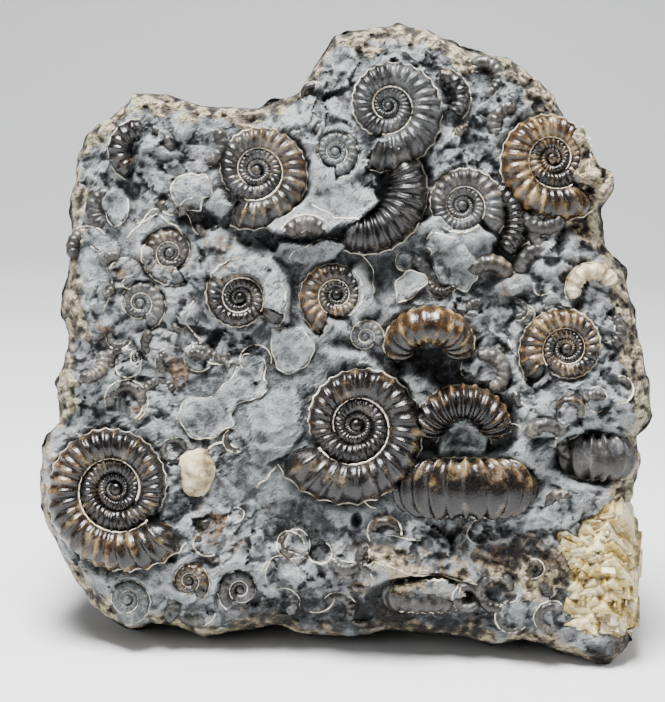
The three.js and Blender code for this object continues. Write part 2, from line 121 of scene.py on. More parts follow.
soft_light("overhead", (-0.07, -0.13, 0.6), 0.26, 17.0)
soft_light("front_left", (-0.6, -0.5, 0.32), 0.4, 1.4)
soft_light("right_rim", (0.6, 0.05, 0.45), 0.3, 2.2)
world = bpy.data.worlds.new("studio")
bpy.context.scene.world = world
world.use_nodes = True
world.node_tree.nodes["Background"].inputs["Color"].default_value = (0.97, 0.98, 1.0, 1)
world.node_tree.nodes["Background"].inputs["Strength"].default_value = 0.14

# %% [markdown]
# ## Meshes from arrays
# A shape here is a grid of points: one function gives the points for two parameters, and the grid gives
# the faces. Numbers that a finish needs, such as how much crust a spot carries, ride on the points as an
# attribute called tone.

# %% Grid and mesh helpers


def grid_faces(rows, columns, wrap=False, start=0):
    """Quads of a grid whose points run along the columns first. wrap joins the last column to the first."""
    across = np.arange(columns if wrap else columns - 1)
    a = start + np.arange(rows - 1)[:, None] * columns + across[None, :]
    b = start + np.arange(rows - 1)[:, None] * columns + (across[None, :] + 1) % columns
    return np.stack([a, b, b + columns, a + columns], -1).reshape(-1, 4)


def fan_faces(pole, ring, turned=False):
    """Triangles from one pole to each step of a closed ring of points."""
    after = np.roll(ring, -1)
    first, second = (after, ring) if turned else (ring, after)
    return np.stack([np.full(len(ring), pole), first, second], -1)


def new_mesh(name, points, quads, triangles=None, tone=None, smooth=True):
    """A mesh object at the origin, from points in metres and arrays of quads and triangles."""
    quads = np.asarray(quads, int).reshape(-1, 4)
    triangles = np.zeros((0, 3), int) if triangles is None else np.asarray(triangles, int)
    corners = np.concatenate([quads.ravel(), triangles.ravel()])
    starts = np.concatenate([
        np.arange(len(quads)) * 4, len(quads) * 4 + np.arange(len(triangles)) * 3])
    mesh = bpy.data.meshes.new(name)
    mesh.vertices.add(len(points))
    mesh.vertices.foreach_set("co", np.asarray(points, np.float32).ravel())
    mesh.loops.add(len(corners))
    mesh.loops.foreach_set("vertex_index", corners.astype(np.int32))
    mesh.polygons.add(len(starts))
    mesh.polygons.foreach_set("loop_start", starts.astype(np.int32))
    mesh.update(calc_edges=True)
    mesh.polygons.foreach_set("use_smooth", np.full(len(starts), smooth))
    if tone is not None:
        layer = mesh.color_attributes.new("tone", "FLOAT_COLOR", "POINT")
        colours = np.ones((len(points), 4), np.float32)
        colours[:, :3] = np.clip(tone, 0, 1)
        layer.data.foreach_set("color", colours.ravel())
    thing = bpy.data.objects.new(name, mesh)
    bpy.context.collection.objects.link(thing)
    return thing


def join_parts(parts):
    """Stack (points, quads, triangles, tone) parts into one set of arrays."""
    starts = np.cumsum([0] + [len(part[0]) for part in parts[:-1]])
    points, tone = (np.concatenate([part[k] for part in parts]) for k in (0, 3))
    quads, triangles = (
        np.concatenate([part[k] + start for part, start in zip(parts, starts)]) for k in (1, 2))
    return points, quads, triangles, tone


# %% [markdown]
# ## Natural roughness
# Two patterns make all the rough stone. Noise is a smooth random swell, worked out from fixed random
# numbers at the corners of a grid of cubes. Chips are cells like broken scales: each has its own slope
# and height, which gives the flat facets and small steps of chipped limestone.

# %% Noise and chips


def corner_value(cell, seed):
    """A fixed number from 0 to 1 for whole-number places: the fraction of a large sine."""
    wave = np.sin(cell @ np.array([127.1, 311.7, 74.7][:cell.shape[-1]]) + seed * 53.3) * 43758.5453
    return wave - np.floor(wave)


def noise(points, size, seed=0):
    """Smooth noise from -1 to 1: corner values blended across each cell with the weight 3f2 - 2f3."""
    place = np.asarray(points, float) / size + 37.3
    cell = np.floor(place)
    part = place - cell
    part = part * part * (3 - 2 * part)
    total = np.zeros(place.shape[:-1])
    for corner in itertools.product((0, 1), repeat=place.shape[-1]):
        corner = np.array(corner)
        weight = np.prod(np.where(corner, part, 1 - part), axis=-1)
        total += weight * corner_value(cell + corner, seed)
    return total * 2 - 1


def rough(points, size, seed=0, octaves=3):
    """Noise with finer and weaker noise on it: each octave half the size and 0.55 of the height."""
    return sum(noise(points, size / 2**k, seed + k) * 0.55**k for k in range(octaves))


def cells(points, size, seed=0):
    """Gap to the nearest random middle, in cell sizes, and that cell's level plus its own slope."""
    place = np.asarray(points, float) / size + 11.7
    cell = np.floor(place)
    nearest = np.full(place.shape[:-1], 9.0)
    height = np.zeros(place.shape[:-1])
    for step in itertools.product((-1, 0, 1), repeat=2):
        other = cell + np.array(step)
        middle = other + np.stack([corner_value(other, seed), corner_value(other, seed + 1)], -1)
        away = place - middle
        gap = np.hypot(away[..., 0], away[..., 1])
        slope = np.stack([corner_value(other, seed + 2), corner_value(other, seed + 3)], -1) - 0.5
        level = corner_value(other, seed + 4) - 0.5 + (away * slope).sum(-1) * 1.6
        height = np.where(gap < nearest, level, height)
        nearest = np.minimum(gap, nearest)
    return nearest, height


def chips(points, size, seed=0):
    """Flat facets with small steps: the level of the nearest cell."""
    return cells(points, size, seed)[1]


def pebbles(points, size, seed=0):
    """Round lumps that meet in creases: a quarter-circle dome on each cell, some higher than others."""
    gap, level = cells(points, size, seed)
    return np.sqrt(np.clip(1 - gap**2, 0, 1)) - 0.7 + 0.6 * level


def swirled(points, size, reach, seed=0):
    """The places moved by noise, so that a pattern read there looks bent."""
    return points + reach * np.stack([noise(points, size, seed), noise(points, size, seed + 1)], -1)


# %% [markdown]
# ## Where the fossils lie
# Each coil is a spiral that shrinks by the same factor with every turn back from its aperture. The same
# list places the shells and clears the stone round them. honey says how much of the shell is honey
# coloured and towards which side, and grey how much stone dust it keeps.

# %% Coils
COILS = {
    "ammonite_top": dict(at=(8.8, 112.0, 2.6), radius=13, growth=2.2, turns=3.0, hand=1,
                         aperture=-110, ribs=25, honey=(0.04, -60), grey=0.42),
    "ammonite_upper_left": dict(at=(-17.4, 99.4, 1.1), radius=12, growth=1.9, turns=3.2, hand=1,
                                aperture=-120, ribs=25, honey=(0.46, 15), grey=0.32),
    "ammonite_upper_right": dict(at=(23.5, 92.3, 1.8), radius=9, growth=1.9, turns=2.8, hand=1,
                                 aperture=-40, ribs=24, honey=(0.12, 100), grey=0.55),
    "ammonite_right_shoulder": dict(at=(41.6, 101.8, 0.2), radius=13, growth=2.0, turns=3.0, hand=-1,
                                    aperture=-47, ribs=24, honey=(0.7, 150), grey=0.1, tilt=(0, 8)),
    "ammonite_small_pale": dict(at=(-1.8, 103.0, 1.6), radius=5.2, growth=1.9, turns=2.2, hand=1,
                                aperture=-90, ribs=18, honey=(0.1, 0), grey=0.95),
    "ammonite_middle_brown": dict(at=(-1.5, 74.6, -0.2), radius=8.2, growth=2.0, turns=2.6, hand=-1,
                                  aperture=250, ribs=20, honey=(0.5, 190), grey=0.3),
    "ammonite_middle_grey": dict(at=(4.2, 66.2, 0.2), radius=3.9, growth=2.0, turns=1.9, hand=1,
                                 aperture=-30, ribs=15, honey=(0.05, 0), grey=0.95),
    "ammonite_middle_left": dict(at=(-20.8, 74.0, 0.8), radius=9.6, growth=1.9, turns=2.8, hand=1,
                                 aperture=-40, ribs=22, honey=(0.2, 90), grey=0.2),
    "ammonite_right": dict(at=(44.4, 63.8, 0.8), radius=9.9, growth=1.9, turns=2.9, hand=-1,
                           aperture=-133, ribs=24, honey=(0.45, 95), grey=0.15),
    "ammonite_centre": dict(at=(2.4, 48.6, 1.4), radius=17.4, growth=2.0, turns=3.3, hand=1,
                            aperture=-157, ribs=26, honey=(0.14, 60), grey=0.1),
    "ammonite_lower_left": dict(at=(-45.7, 35.8, 0.6), radius=17.6, growth=1.9, turns=3.6, hand=-1,
                                aperture=-33, ribs=30, honey=(0.34, 215), grey=0.06, tilt=(0, -9)),
    "ammonite_low_brown": dict(at=(-31.0, 17.4, 0.8), radius=4.4, growth=2.0, turns=2.0, hand=1,
                               aperture=-60, ribs=14, honey=(0.55, 90), grey=0.25),
    "ammonite_low_grey": dict(at=(-20.8, 15.6, 0.2), radius=4.7, growth=2.0, turns=2.0, hand=-1,
                              aperture=-120, ribs=14, honey=(0.3, -90), grey=0.6),
    "ammonite_left_rings": dict(at=(-40.8, 73.0, 0.1), radius=5.5, growth=2.0, turns=2.0, hand=1,
                                aperture=-70, ribs=16, honey=(0.25, 40), grey=0.7),
    "ammonite_left_crystal": dict(at=(-34.8, 83.0, 0.1), radius=6.6, growth=2.0, turns=2.2, hand=-1,
                                  aperture=-60, ribs=17, honey=(0.42, 60), grey=0.55),
    "ammonite_bottom_left": dict(at=(-43.4, 13.6, 0.4), radius=5.2, growth=2.0, turns=2.0, hand=1,
                                 aperture=-100, ribs=15, honey=(0.05, 0), grey=1.0),
}

# %% [markdown]
# Other shells show only a stretch of whorl, some of them on their edge. A stretch follows an arc, turned
# about s by tilt: at 90 degrees the outside of the whorl faces us.

# %% Whorls
WHORLS = {
    "whorl_body_chamber": dict(at=(3.6, 95.6, 1.6), arc=9, across=4.0, high=4.0, span=(-112, 36),
                               ribs=12, tilt=0, honey=(0.03, 0), grey=0.35),
    "whorl_beside_upper_right": dict(at=(26, 88.8, 0.6), arc=8.2, across=2.2, high=2.5,
                                     span=(-44, 60), ribs=11, tilt=0, honey=(0.03, 0), grey=0.12),
    "whorl_beside_top": dict(at=(18.6, 113.6, 1.2), arc=4.6, across=1.9, high=2.3, span=(-42, 87),
                             ribs=6, tilt=0, honey=(0.03, 0), grey=0.3),
    "whorl_upper_left": dict(at=(-40.4, 103.2, 0.8), arc=4.4, across=2.2, high=2.4, span=(88, 242),
                             ribs=7, tilt=0, honey=(0.12, 200), grey=0.15),
    "whorl_cream_right": dict(at=(49.8, 75.4, 0.0), arc=3.9, across=1.7, high=1.9, span=(18, 202),
                              ribs=8, tilt=0, honey=(0.1, 0), grey=1.0),
    "ammonite_amber": dict(at=(17, 64.6, 0.8), arc=5.7, across=3.6, high=3.9, span=(-22, 202),
                           ribs=13, tilt=45, honey=(0.7, 90), grey=0.0, ribbing=0.08),
    "ammonite_lower_right": dict(at=(23.6, 47.2, 0), arc=6.7, across=3.5, high=3.6, span=(-7, 187),
                                 ribs=14, tilt=25, honey=(0.36, 30), grey=0.05, ribbing=0.24),
    "ammonite_edge_on": dict(at=(24.2, 36, -9.5), arc=10.6, across=4.9, high=5.7, span=(4, 176),
                             ribs=12, tilt=90, honey=(0.26, 40), grey=0.05, arched=0.5, ribbing=0.22),
    "ammonite_edge_grey": dict(at=(50.8, 42, -7.2), arc=5.4, across=3.4, high=4.3, span=(8, 172),
                               ribs=7, tilt=90, honey=(0.0, 0), grey=0.5, arched=0.7, ribbing=0.3),
    "whorl_under_ledge": dict(at=(16.4, 14, -9.4), arc=7, across=3.1, high=3.3, span=(13, 167),
                              ribs=10, tilt=90, honey=(0.02, 0), grey=0.8, arched=0.7, ribbing=0.1,
                              worn=0.5),
}
print(len(COILS), "coils and", len(WHORLS), "whorls")

# %% [markdown]
# ## The outline of the stone
# The block's outline, seen from the front, is drawn as four sides. It lies about 9 mm behind the front,
# because the front's border rolls back to it, so it is spread a little from the middle of the face.

# %% Outline
FACE_MIDDLE = np.array([-2.3, 63.4])
RIM_SPREAD = 1.023
RIM_DEPTH = 9.0
RIM_DEPTH_LOW_LEFT = 9.0
RIM_REACH = 9.0
BACK_AT = 50.0


def side(points):
    """A side of the outline in mm, spread from the middle of the face."""
    return FACE_MIDDLE + (np.array(points) - FACE_MIDDLE) * RIM_SPREAD


LEFT_SIDE = side([
    (-52.4, 14.6), (-55, 18.2), (-58.6, 25.4), (-60.4, 29), (-61.2, 33.6), (-61.2, 38.2),
    (-60.6, 43.8), (-59, 47), (-57.2, 49), (-57.6, 56.2), (-56, 63.4), (-55.4, 67), (-56.8, 72.8),
    (-55, 78.6), (-55, 84.2), (-54.2, 88), (-54.4, 94.6), (-53, 102.4), (-52, 105), (-48.8, 108.8)])
RIGHT_SIDE = side([
    (52.2, 0), (55.8, 3.4), (57, 5), (56.4, 9), (58.2, 12.6), (55.6, 19.2), (53.6, 27.4), (54.2, 30),
    (57.8, 34.6), (58.2, 37.6), (59.4, 41.3), (58.4, 46), (61.2, 51), (61, 56.6), (59.6, 63.4),
    (58.2, 68.4), (56.8, 75.4), (55.4, 80), (52.2, 83.8), (50.6, 91.8), (52, 95.4), (49.2, 100.6),
    (46.4, 106.2), (43.8, 109.8), (41.4, 114.6)])
LOWER_SIDE = side([
    (-52.4, 14.6), (-50.4, 11.6), (-47.2, 9), (-42.8, 6.7), (-38.6, 8.2), (-33.4, 7.4), (-27.8, 5.2),
    (-21.6, 6.4), (-13.4, 7.8), (-8.4, 6), (1.4, 5.4), (9.2, 7), (20, 6.4), (30.2, 4.4), (35.8, 5.4),
    (45, 2.4), (52.2, 0)])
UPPER_SIDE = side([
    (-48.8, 108.8), (-42.8, 112.8), (-41.6, 114.6), (-34, 114.4), (-28.4, 112.2), (-16.8, 111.4),
    (-9, 115), (-5, 121), (-1.4, 126), (9.4, 128.2), (16.4, 127.4), (23.4, 123.2), (32.2, 121.8),
    (37.2, 118.4), (41.4, 114.6)])


def along(points, share):
    """Points at shares of a side's length, on the straight stretches between its corners."""
    steps = np.hypot(*np.diff(points, axis=0).T)
    length = np.concatenate([[0], np.cumsum(steps)]) / steps.sum()
    return np.stack([np.interp(share, length, points[:, k]) for k in (0, 1)], -1)


def face_grid(u, v):
    """Coons patch: lerp of the upright sides plus lerp of the level sides minus the lerp of the corners."""
    low, high = along(LOWER_SIDE, u)[None], along(UPPER_SIDE, u)[None]
    left, right_side = along(LEFT_SIDE, v)[:, None], along(RIGHT_SIDE, v)[:, None]
    u, v = u[None, :, None], v[:, None, None]
    corners = (LOWER_SIDE[0] * (1 - u) * (1 - v) + LOWER_SIDE[-1] * u * (1 - v)
               + UPPER_SIDE[0] * (1 - u) * v + UPPER_SIDE[-1] * u * v)
    return low * (1 - v) + high * v + left * (1 - u) + right_side * u - corners


def from_rim(s, t):
    """Distance in mm inside the outline: the least of the ways left, right, down and up, rounded off."""
    ways = np.stack([
        s - np.interp(t, LEFT_SIDE[:, 1], LEFT_SIDE[:, 0]),
        np.interp(t, RIGHT_SIDE[:, 1], RIGHT_SIDE[:, 0]) - s,
        t - np.interp(s, LOWER_SIDE[:, 0], LOWER_SIDE[:, 1]),
        np.interp(s, UPPER_SIDE[:, 0], UPPER_SIDE[:, 1]) - t])
    ways = np.maximum(ways, 0.02)
    return (ways**-4.0).sum(0) ** -0.25


# %% [markdown]
# ## The front's relief
# The large swells and hollows come first, each a soft lump with a middle, two half-widths, a turn and a
# rise. Small ones stand for the pebbles, cut shells and pits that can be picked out in the stone.

# %% Swells, lumps and hollows
# s, t, half-width along s, half-width along t, turn in degrees, rise
SWELLS = [
    (9, 106, 17, 20, 0, 2.2), (-3, 96, 10, 5, 20, 1.8), (2, 82, 15, 8, 0, -2.4),
    (-30, 95, 6, 5, 0, 1.6), (49, 95, 5, 5, 0, 3.2), (26, 84, 8, 5, -20, 2.4), (42, 52, 8, 5, 0, 1.8),
    (-13, 49, 7, 8, 0, 2), (17, 60, 9, 5, 0, -2), (24, 45, 8, 4, 0, -1.5), (45, 33, 9, 6, -15, 1.8),
    (10, 19.5, 22, 4, -3, 2.3), (8, 9, 26, 5, -2, -4.5), (38, 11, 7, 6, 0, 1.5), (-12, 29, 9, 8, 0, -0.8),
    (1, 33, 12, 4, 0, 1.0),
    (-40, 15, 12, 8, 0, 1.2), (-36, 58, 14, 12, 0, -1),
]
LUMPS = [
    (-29.2, 90.0, 3.8, 2.0, -15, -3.2), (-32.3, 108.3, 2, 2.8, 10, 2.6), (-38.1, 102.7, 3.2, 2, 0, 1.6),
    (-24.5, 83.7, 3.6, 4.2, 0, 2.6), (-48, 68.7, 2, 1.6, 0, 1.1), (-41.2, 51.1, 2, 2, 0, 1.0),
    (-26.2, 29.5, 3.8, 3.8, 0, 1.3), (-9.7, 29.4, 5, 3.2, -8, 1.4), (2.5, 29.6, 0.9, 1.4, 0, -1.8),
    (55.6, 54, 4, 2, -6, 1.6), (40, 52.6, 2.1, 2.6, 0, 2.0), (44.4, 51.6, 2.2, 2.8, 0, 1.8),
    (33.5, 76.7, 3.5, 2.1, 10, 2.6), (34.8, 10.7, 1.6, 2.6, 10, 0.8), (39.8, 10.5, 3.2, 3.2, 0, 0.5),
    (18.5, 47, 3.4, 5, 10, 3.0), (17.2, 53, 3.6, 3, -20, 2.6), (13.2, 84.6, 4, 3, 0, 1.2),
    (2, 60.6, 6, 3, -20, 1.8), (-14, 80, 5, 3.6, 30, 1.6), (-33, 52, 4, 3, 0, 1.4),
    (36, 60.4, 3, 4.6, 10, 1.8), (6, 22, 5, 2.4, 0, 1.6), (-50, 74, 3, 4, 0, 1.4),
    (-6.2, 79.8, 3, 2.6, 30, 1.6), (33.4, 97.4, 2.4, 4, 10, -1.6), (30.6, 104.6, 4, 3, 0, 1.2),
    (52, 90, 3.4, 3.2, 0, 1.6), (10.4, 102.6, 4.2, 2.6, 10, 3.0), (14.2, 96, 2, 3, 0, -1.4),
    (-28, 67, 3, 4, 20, -1.4), (-10, 71, 3, 6, 10, -1.2), (31, 52, 3.4, 2.6, 0, -1.2),
    (37.6, 41.6, 3.2, 3.6, 0, 1.4), (-53.2, 56, 2.4, 4, 0, -1.2), (-36, 69, 3, 2, 0, -1.2),
    (-50, 79, 3, 4, 0, 0.9), (0, 64.6, 2.6, 1.6, 0, -1), (-22.6, 21.4, 3, 2, 0, 0.9),
    (-16, 10, 4.4, 2, 0, 1.4), (46.8, 84, 4, 3, -30, 1.3), (41.6, 81, 3.2, 4, 15, 1.3),
]
# Places that the maker has worked smooth: s, t, half-width along s, half-width along t
SMOOTH = [(1, 83, 13, 9), (-4, 95, 8, 5), (-13, 49, 7, 9), (-27, 52, 9, 8), (-14, 36, 16, 7),
          (10, 80, 8, 6), (-10, 62, 8, 6), (30, 84, 9, 6), (-43, 88, 6, 8), (3, 31.5, 12, 5)]


def smoothstep(low, high, value):
    """0 below low, 1 above high and 3x2 - 2x3 between them."""
    x = np.clip((value - low) / (high - low), 0, 1)
    return x * x * (3 - 2 * x)


def lump(s, t, data, power=1.5):
    """rise * exp(-(x2 + y2) ** power), where x and y are the distances in half-widths, turned."""
    s0, t0, half_s, half_t, turn, rise = data
    c, d = math.cos(math.radians(turn)), math.sin(math.radians(turn))
    x = ((s - s0) * c + (t - t0) * d) / half_s
    y = ((t - t0) * c - (s - s0) * d) / half_t
    return rise * np.exp(-((x * x + y * y) ** power))


def worked_smooth(s, t):
    """Share from 0 to 1 of how smooth the stone has been worked."""
    cover = sum(lump(s, t, (*spot, 0, 1), 2) for spot in SMOOTH)
    return np.clip(cover, 0, 1)


# %% [markdown]
# Broken plates and cut pebbles have clear edges, and a white line of shell often follows them. A plate
# is a polygon that is raised or sunk as a whole, and a ledge one that is worked to a flat slope of its
# own. A cover is a stretch of stone that was left standing over part of a coil.

# %% Plates, pebbles, ledges and covers
# Outline of the corner that the crystals cover, counter-clockwise
CORNER = np.array([(40.6, 27.4), (44.2, 18.6), (45.2, 13), (47.2, 6.6), (50, 4.6), (55, 4.6), (60, 5.8),
                   (60.6, 16), (58.4, 28.6), (53, 32), (47, 31.6)])
# Corners in s and t, then the rise
PLATES = [
    ([(-32.6, 50.6), (-32.2, 52), (-30.4, 54.2), (-25.6, 54.8), (-22.8, 56.8), (-21.8, 59.4),
      (-21.2, 61.2), (-19, 62.4), (-15.8, 61.2), (-15.4, 59.6), (-15.8, 56.8), (-16.2, 55.2),
      (-17.8, 54.2), (-18.2, 53.2), (-20, 53), (-22, 51), (-22.2, 48.8), (-24.2, 47.2), (-26, 46),
      (-30.6, 46.4), (-32.6, 48.6)], 1.1),
    ([(-14.2, 67.6), (-14, 63.2), (-13.2, 60.4), (-11.2, 58.2), (-9, 58.6), (-6.8, 60.6), (-6, 62.6),
      (-7, 65.8), (-8.4, 68.4)], 1.0),
    ([(10.6, 77.6), (14, 80), (16, 79), (16, 76.8), (13.8, 74.4), (10.6, 73.4)], 1.2),
    ([(-34.6, 95), (-33.2, 98), (-30, 98.8), (-27, 97.8), (-26.2, 94.6), (-28.4, 92.2), (-31.6, 91.8)],
     1.6),
    ([(-18.8, 52.6), (-14.6, 55.6), (-9.4, 55.4), (-6.6, 50.4), (-8.4, 45.6), (-13, 42.8),
      (-17.4, 44.6)], 0.6),
    ([(17, 87), (22, 85.6), (26.4, 81.6), (27, 77.6), (23.6, 75.2), (19, 77.4), (16.8, 82)], 1.5),
    ([(-26, 69), (-20, 67.4), (-16.8, 64.4), (-18.6, 63), (-22.8, 62), (-24.4, 58.4), (-28, 58.2),
      (-28.6, 64)], -1.0),
    ([(-42.4, 66.6), (-38, 68.2), (-33.4, 66.4), (-33.2, 61.6), (-38, 59.6)], 0.9),
    ([(30.6, 55.4), (36, 57.6), (38.4, 54), (35.4, 49.4), (31.4, 50.4)], 0.9),
]
# s, t, half-width along s, half-width along t, rise
PEBBLES = [
    (-43.1, 61, 2.7, 2.8, 0.8), (-43.6, 53.2, 3.6, 3.4, -0.7), (-29.1, 62.2, 2.9, 2.8, 1.0),
    (-34, 43.5, 2.6, 2.7, -0.7), (-43.5, 79.5, 3.1, 2.3, 1.0), (-42.6, 76.9, 1.6, 1.1, 0.8),
    (-9.3, 24.6, 2.3, 3.6, 1.6), (-11.2, 19, 4.2, 4.6, -0.9), (-4.8, 23.3, 2.4, 2.1, -1.1),
    (3.9, 23.2, 1.1, 2, 0.8), (27.2, 27.1, 2.4, 2.5, -0.8), (52.8, 67.7, 1.4, 2.7, 1.0),
    (50.3, 53.6, 2.3, 2.6, 0.9), (39.7, 76.1, 1.9, 1.5, 0.8), (24.7, 14.1, 1.9, 3.7, 0.9),
    (30.6, 15.1, 4.4, 2.9, -1.0), (-45.4, 92.4, 2.5, 3.9, 1.3), (27.5, 60.1, 4.3, 3.5, 1.0),
    (12.4, 81.5, 1.9, 2.1, 1.1), (36.6, 70.6, 1.5, 1.8, 0.7), (-48.4, 46.2, 1.6, 1.2, 0.7),
    (-21.6, 30.6, 1.6, 1.4, 0.7), (33.8, 47.6, 1.5, 1.2, 0.7), (-37.8, 22.8, 2, 1.5, 0.8),
]
# Corners in s and t, height at their middle, slope along s, slope along t
LEDGES = [
    ([(-5.2, 95.6), (0.2, 98), (5.6, 95.6), (6.6, 92.4), (4.4, 90), (-1, 87.4), (-6, 87), (-12, 86.6),
      (-16.4, 88), (-10.8, 91.6)], 4.2, 0.1, -0.24),
    ([(-13, 85.6), (-6, 85.8), (1, 85), (-2, 81.8), (-8.6, 80.4), (-14, 82)], 1.2, 0.05, 0.2),
    ([(18.6, 44.2), (19.4, 47.6), (21.4, 49.6), (24, 50.2), (26.6, 49.2), (28.4, 46.6), (28.4, 44),
      (23.6, 42.6)], 0.3, 0, 0.06),
    ([(8.4, 13.6), (9.8, 16.6), (12.6, 18.2), (19.6, 18.4), (23.6, 16.4), (25, 14.4), (21.6, 13.2),
      (16.4, 13.8), (12.2, 13)], 0.9, 0, 0.16),
]
# s, t, inner radius, outer radius, first angle, last angle, height
COVERS = [
    (-20.8, 74, 4.9, 11, -28, 152, 3.2), (41.6, 101.8, 5.2, 14.6, -42, 60, 2.7),
    (23.5, 92.3, 4.7, 10.4, 198, 322, 4.3), (-1.5, 74.6, 4.4, 9.2, -62, 62, 2.1),
    (8.8, 112, 6.4, 11, 248, 292, 5.6), (-34.8, 83, 2.8, 7.6, 155, 290, 2.0),
    (-40.8, 73, 2.2, 6.2, 100, 225, 1.5), (-17.4, 99.4, 8.4, 13, 206, 240, 3.4),
    (2.4, 48.6, 12.6, 19, 12, 52, 2.6),
]


def polygon_depth(s, t, corners):
    """Distance to a polygon's nearest side, positive inside: a ray to the right crosses an odd number."""
    corners = np.array(corners)
    edge = np.roll(corners, -1, 0) - corners
    way = np.stack([s, t], -1)[..., None, :] - corners
    share = np.clip((way * edge).sum(-1) / (edge**2).sum(-1), 0, 1)
    gap = np.linalg.norm(way - share[..., None] * edge, axis=-1).min(-1)
    spans = (way[..., 1] >= 0) != (way[..., 1] >= edge[:, 1])
    past = way[..., 1] / np.where(edge[:, 1] == 0, 1e-9, edge[:, 1]) * edge[:, 0]
    inside = (spans & (way[..., 0] < past)).sum(-1) % 2 == 1
    return np.where(inside, gap, -gap)


def crooked(spot):
    """The places at which plates and ledges are read, moved by noise so that their edges look broken."""
    return swirled(spot, 2.6, 0.75, 65)


def plate_rise(s, t):
    """Rise of the plates and pebbles: full inside their edge, which is half a millimetre wide."""
    total = np.zeros(np.shape(s))
    for corners, rise in PLATES:
        total = total + rise * smoothstep(-0.25, 0.35, polygon_depth(s, t, corners))
    for s0, t0, half_s, half_t, rise in PEBBLES:
        away = np.hypot((s - s0) / half_s, (t - t0) / half_t)
        total = total + rise * (1 - smoothstep(0.86, 1.1, away)) * (0.7 + 0.3 * away**2)
    return total


def lay_over(s, t, n):
    """Put the ledges and covers over the stone: the higher of the two, with edges under a millimetre."""
    spot = np.stack([s, t], -1)
    for corners, level, slope_s, slope_t in LEDGES:
        middle = np.mean(corners, axis=0)
        plane = level + slope_s * (s - middle[0]) + slope_t * (t - middle[1])
        share = smoothstep(-0.2, 0.6, polygon_depth(*np.moveaxis(crooked(spot), -1, 0), corners))
        broken = 0.3 * chips(spot, 5, 58) + 0.2 * rough(spot, 2.4, 59)
        n = n + (np.maximum(plane + broken, n) - n) * share
    ragged = 0.9 * noise(spot, 2.6, 55)
    rugged = 0.5 * rough(spot, 4, 56) + 0.6 * chips(spot, 3.4, 57)
    for s0, t0, inner, outer, first, last, level in COVERS:
        r = np.hypot(s - s0, t - t0)
        angle = np.degrees(np.arctan2(t - t0, s - s0))
        past = np.abs((angle - (first + last) / 2 + 180) % 360 - 180) - (last - first) / 2
        share = (smoothstep(-0.2, 1.2, ragged - np.radians(past) * r)
                 * smoothstep(-0.3, 0.4, r - inner + 0.3 * ragged) * smoothstep(0, 3, outer - r + ragged))
        n = n + (np.maximum(level + rugged, n) - n) * share
    return n


# %% [markdown]
# Round each shell the stone has been cut away. Inside a shell's own outline the stone drops below the
# shell's middle plane, and over the next few millimetres it climbs back to its own height.

# %% Seats round the shells


def coil_reach(s, t, coil):
    """Distance outside a coil's spiral edge, from the spiral's radius at the same angle."""
    x, y = s - coil["at"][0], t - coil["at"][1]
    turned = (np.degrees(np.arctan2(y, x)) - coil["aperture"]) * coil["hand"] % 360 / 360
    return np.hypot(x, y) - coil["radius"] * coil["growth"] ** -turned


def whorl_reach(s, t, whorl):
    """Distance outside a whorl's band, from its arc as it is seen from the front."""
    x = s - whorl["at"][0]
    flat = math.cos(math.radians(whorl["tilt"]))
    if whorl["tilt"] > 80:
        half = whorl["arc"] + 0.4 * whorl["across"]
        return (np.hypot(x / half, (t - whorl["at"][1]) / whorl["high"]) - 1) * whorl["high"]
    y = (t - whorl["at"][1]) / flat
    middle = sum(whorl["span"]) / 2
    away = (np.degrees(np.arctan2(y, x)) - middle + 180) % 360 - 180
    past = np.maximum(np.abs(away) - (whorl["span"][1] - whorl["span"][0]) / 2, 0)
    return np.abs(np.hypot(x, y) - whorl["arc"]) - whorl["across"] + np.radians(past) * whorl["arc"]


def coil_plane(s, t, coil):
    """Height of a coil's tilted middle plane at a spot."""
    down_s, up_t = (math.tan(math.radians(angle)) for angle in coil.get("tilt", (0, 0))[::-1])
    return coil["at"][2] - down_s * (s - coil["at"][0]) + up_t * (t - coil["at"][1])


def cut_seats(s, t, n):
    """Blend the stone's height towards each shell's bed, fully inside its edge and not at all 3 mm out."""
    for coil in COILS.values():
        whorl_high = coil["radius"] * (1 - 1 / coil["growth"]) / 2
        bed = coil_plane(s, t, coil) - 0.42 * whorl_high
        out = coil_reach(s, t, coil)
        weight = 1 - smoothstep(0.0, 0.1 + 0.16 * coil["radius"], out)
        n = n + (np.minimum(bed, n + 0.6) - n) * weight
        n = np.where(out < 0.3, np.maximum(n, bed - 0.4), n)
    for whorl in WHORLS.values():
        bed = whorl["at"][2] - 0.45 * whorl["high"]
        if whorl["tilt"] > 80:
            bed = whorl["at"][2] + whorl["arc"] + 0.3 - 0.4 * whorl["high"]
        weight = 1 - smoothstep(0.0, 2.2, whorl_reach(s, t, whorl))
        n = n + (np.minimum(bed, n + 0.4) - n) * weight
    return n


# %% Height of the front


def crust_share(s, t):
    """How much weathered crust a spot carries: all at the rim, none far inside, with a ragged border."""
    spot = np.stack([s, t], -1)
    inside = from_rim(s, t)
    ragged = 2.4 * rough(spot, 6, 70) + 1.4 * noise(spot, 2, 71)
    band = 3.0 + 4.5 * smoothstep(20, 44, s) * smoothstep(70, 112, t) + 1.5 * (s > 50)
    rim = 1 - smoothstep(band - 1.5, band + 2.0, inside + ragged)
    bent = t + 1.6 * rough(spot, 6, 72)
    low = (1 - smoothstep(23, 26.5, bent)) * smoothstep(12, 15, bent) * smoothstep(-4, 4, s)
    low = low * (0.3 + 0.7 * smoothstep(-0.25, 0.25, noise(spot, 4, 73)))
    return np.clip(np.maximum(rim, low), 0, 1)


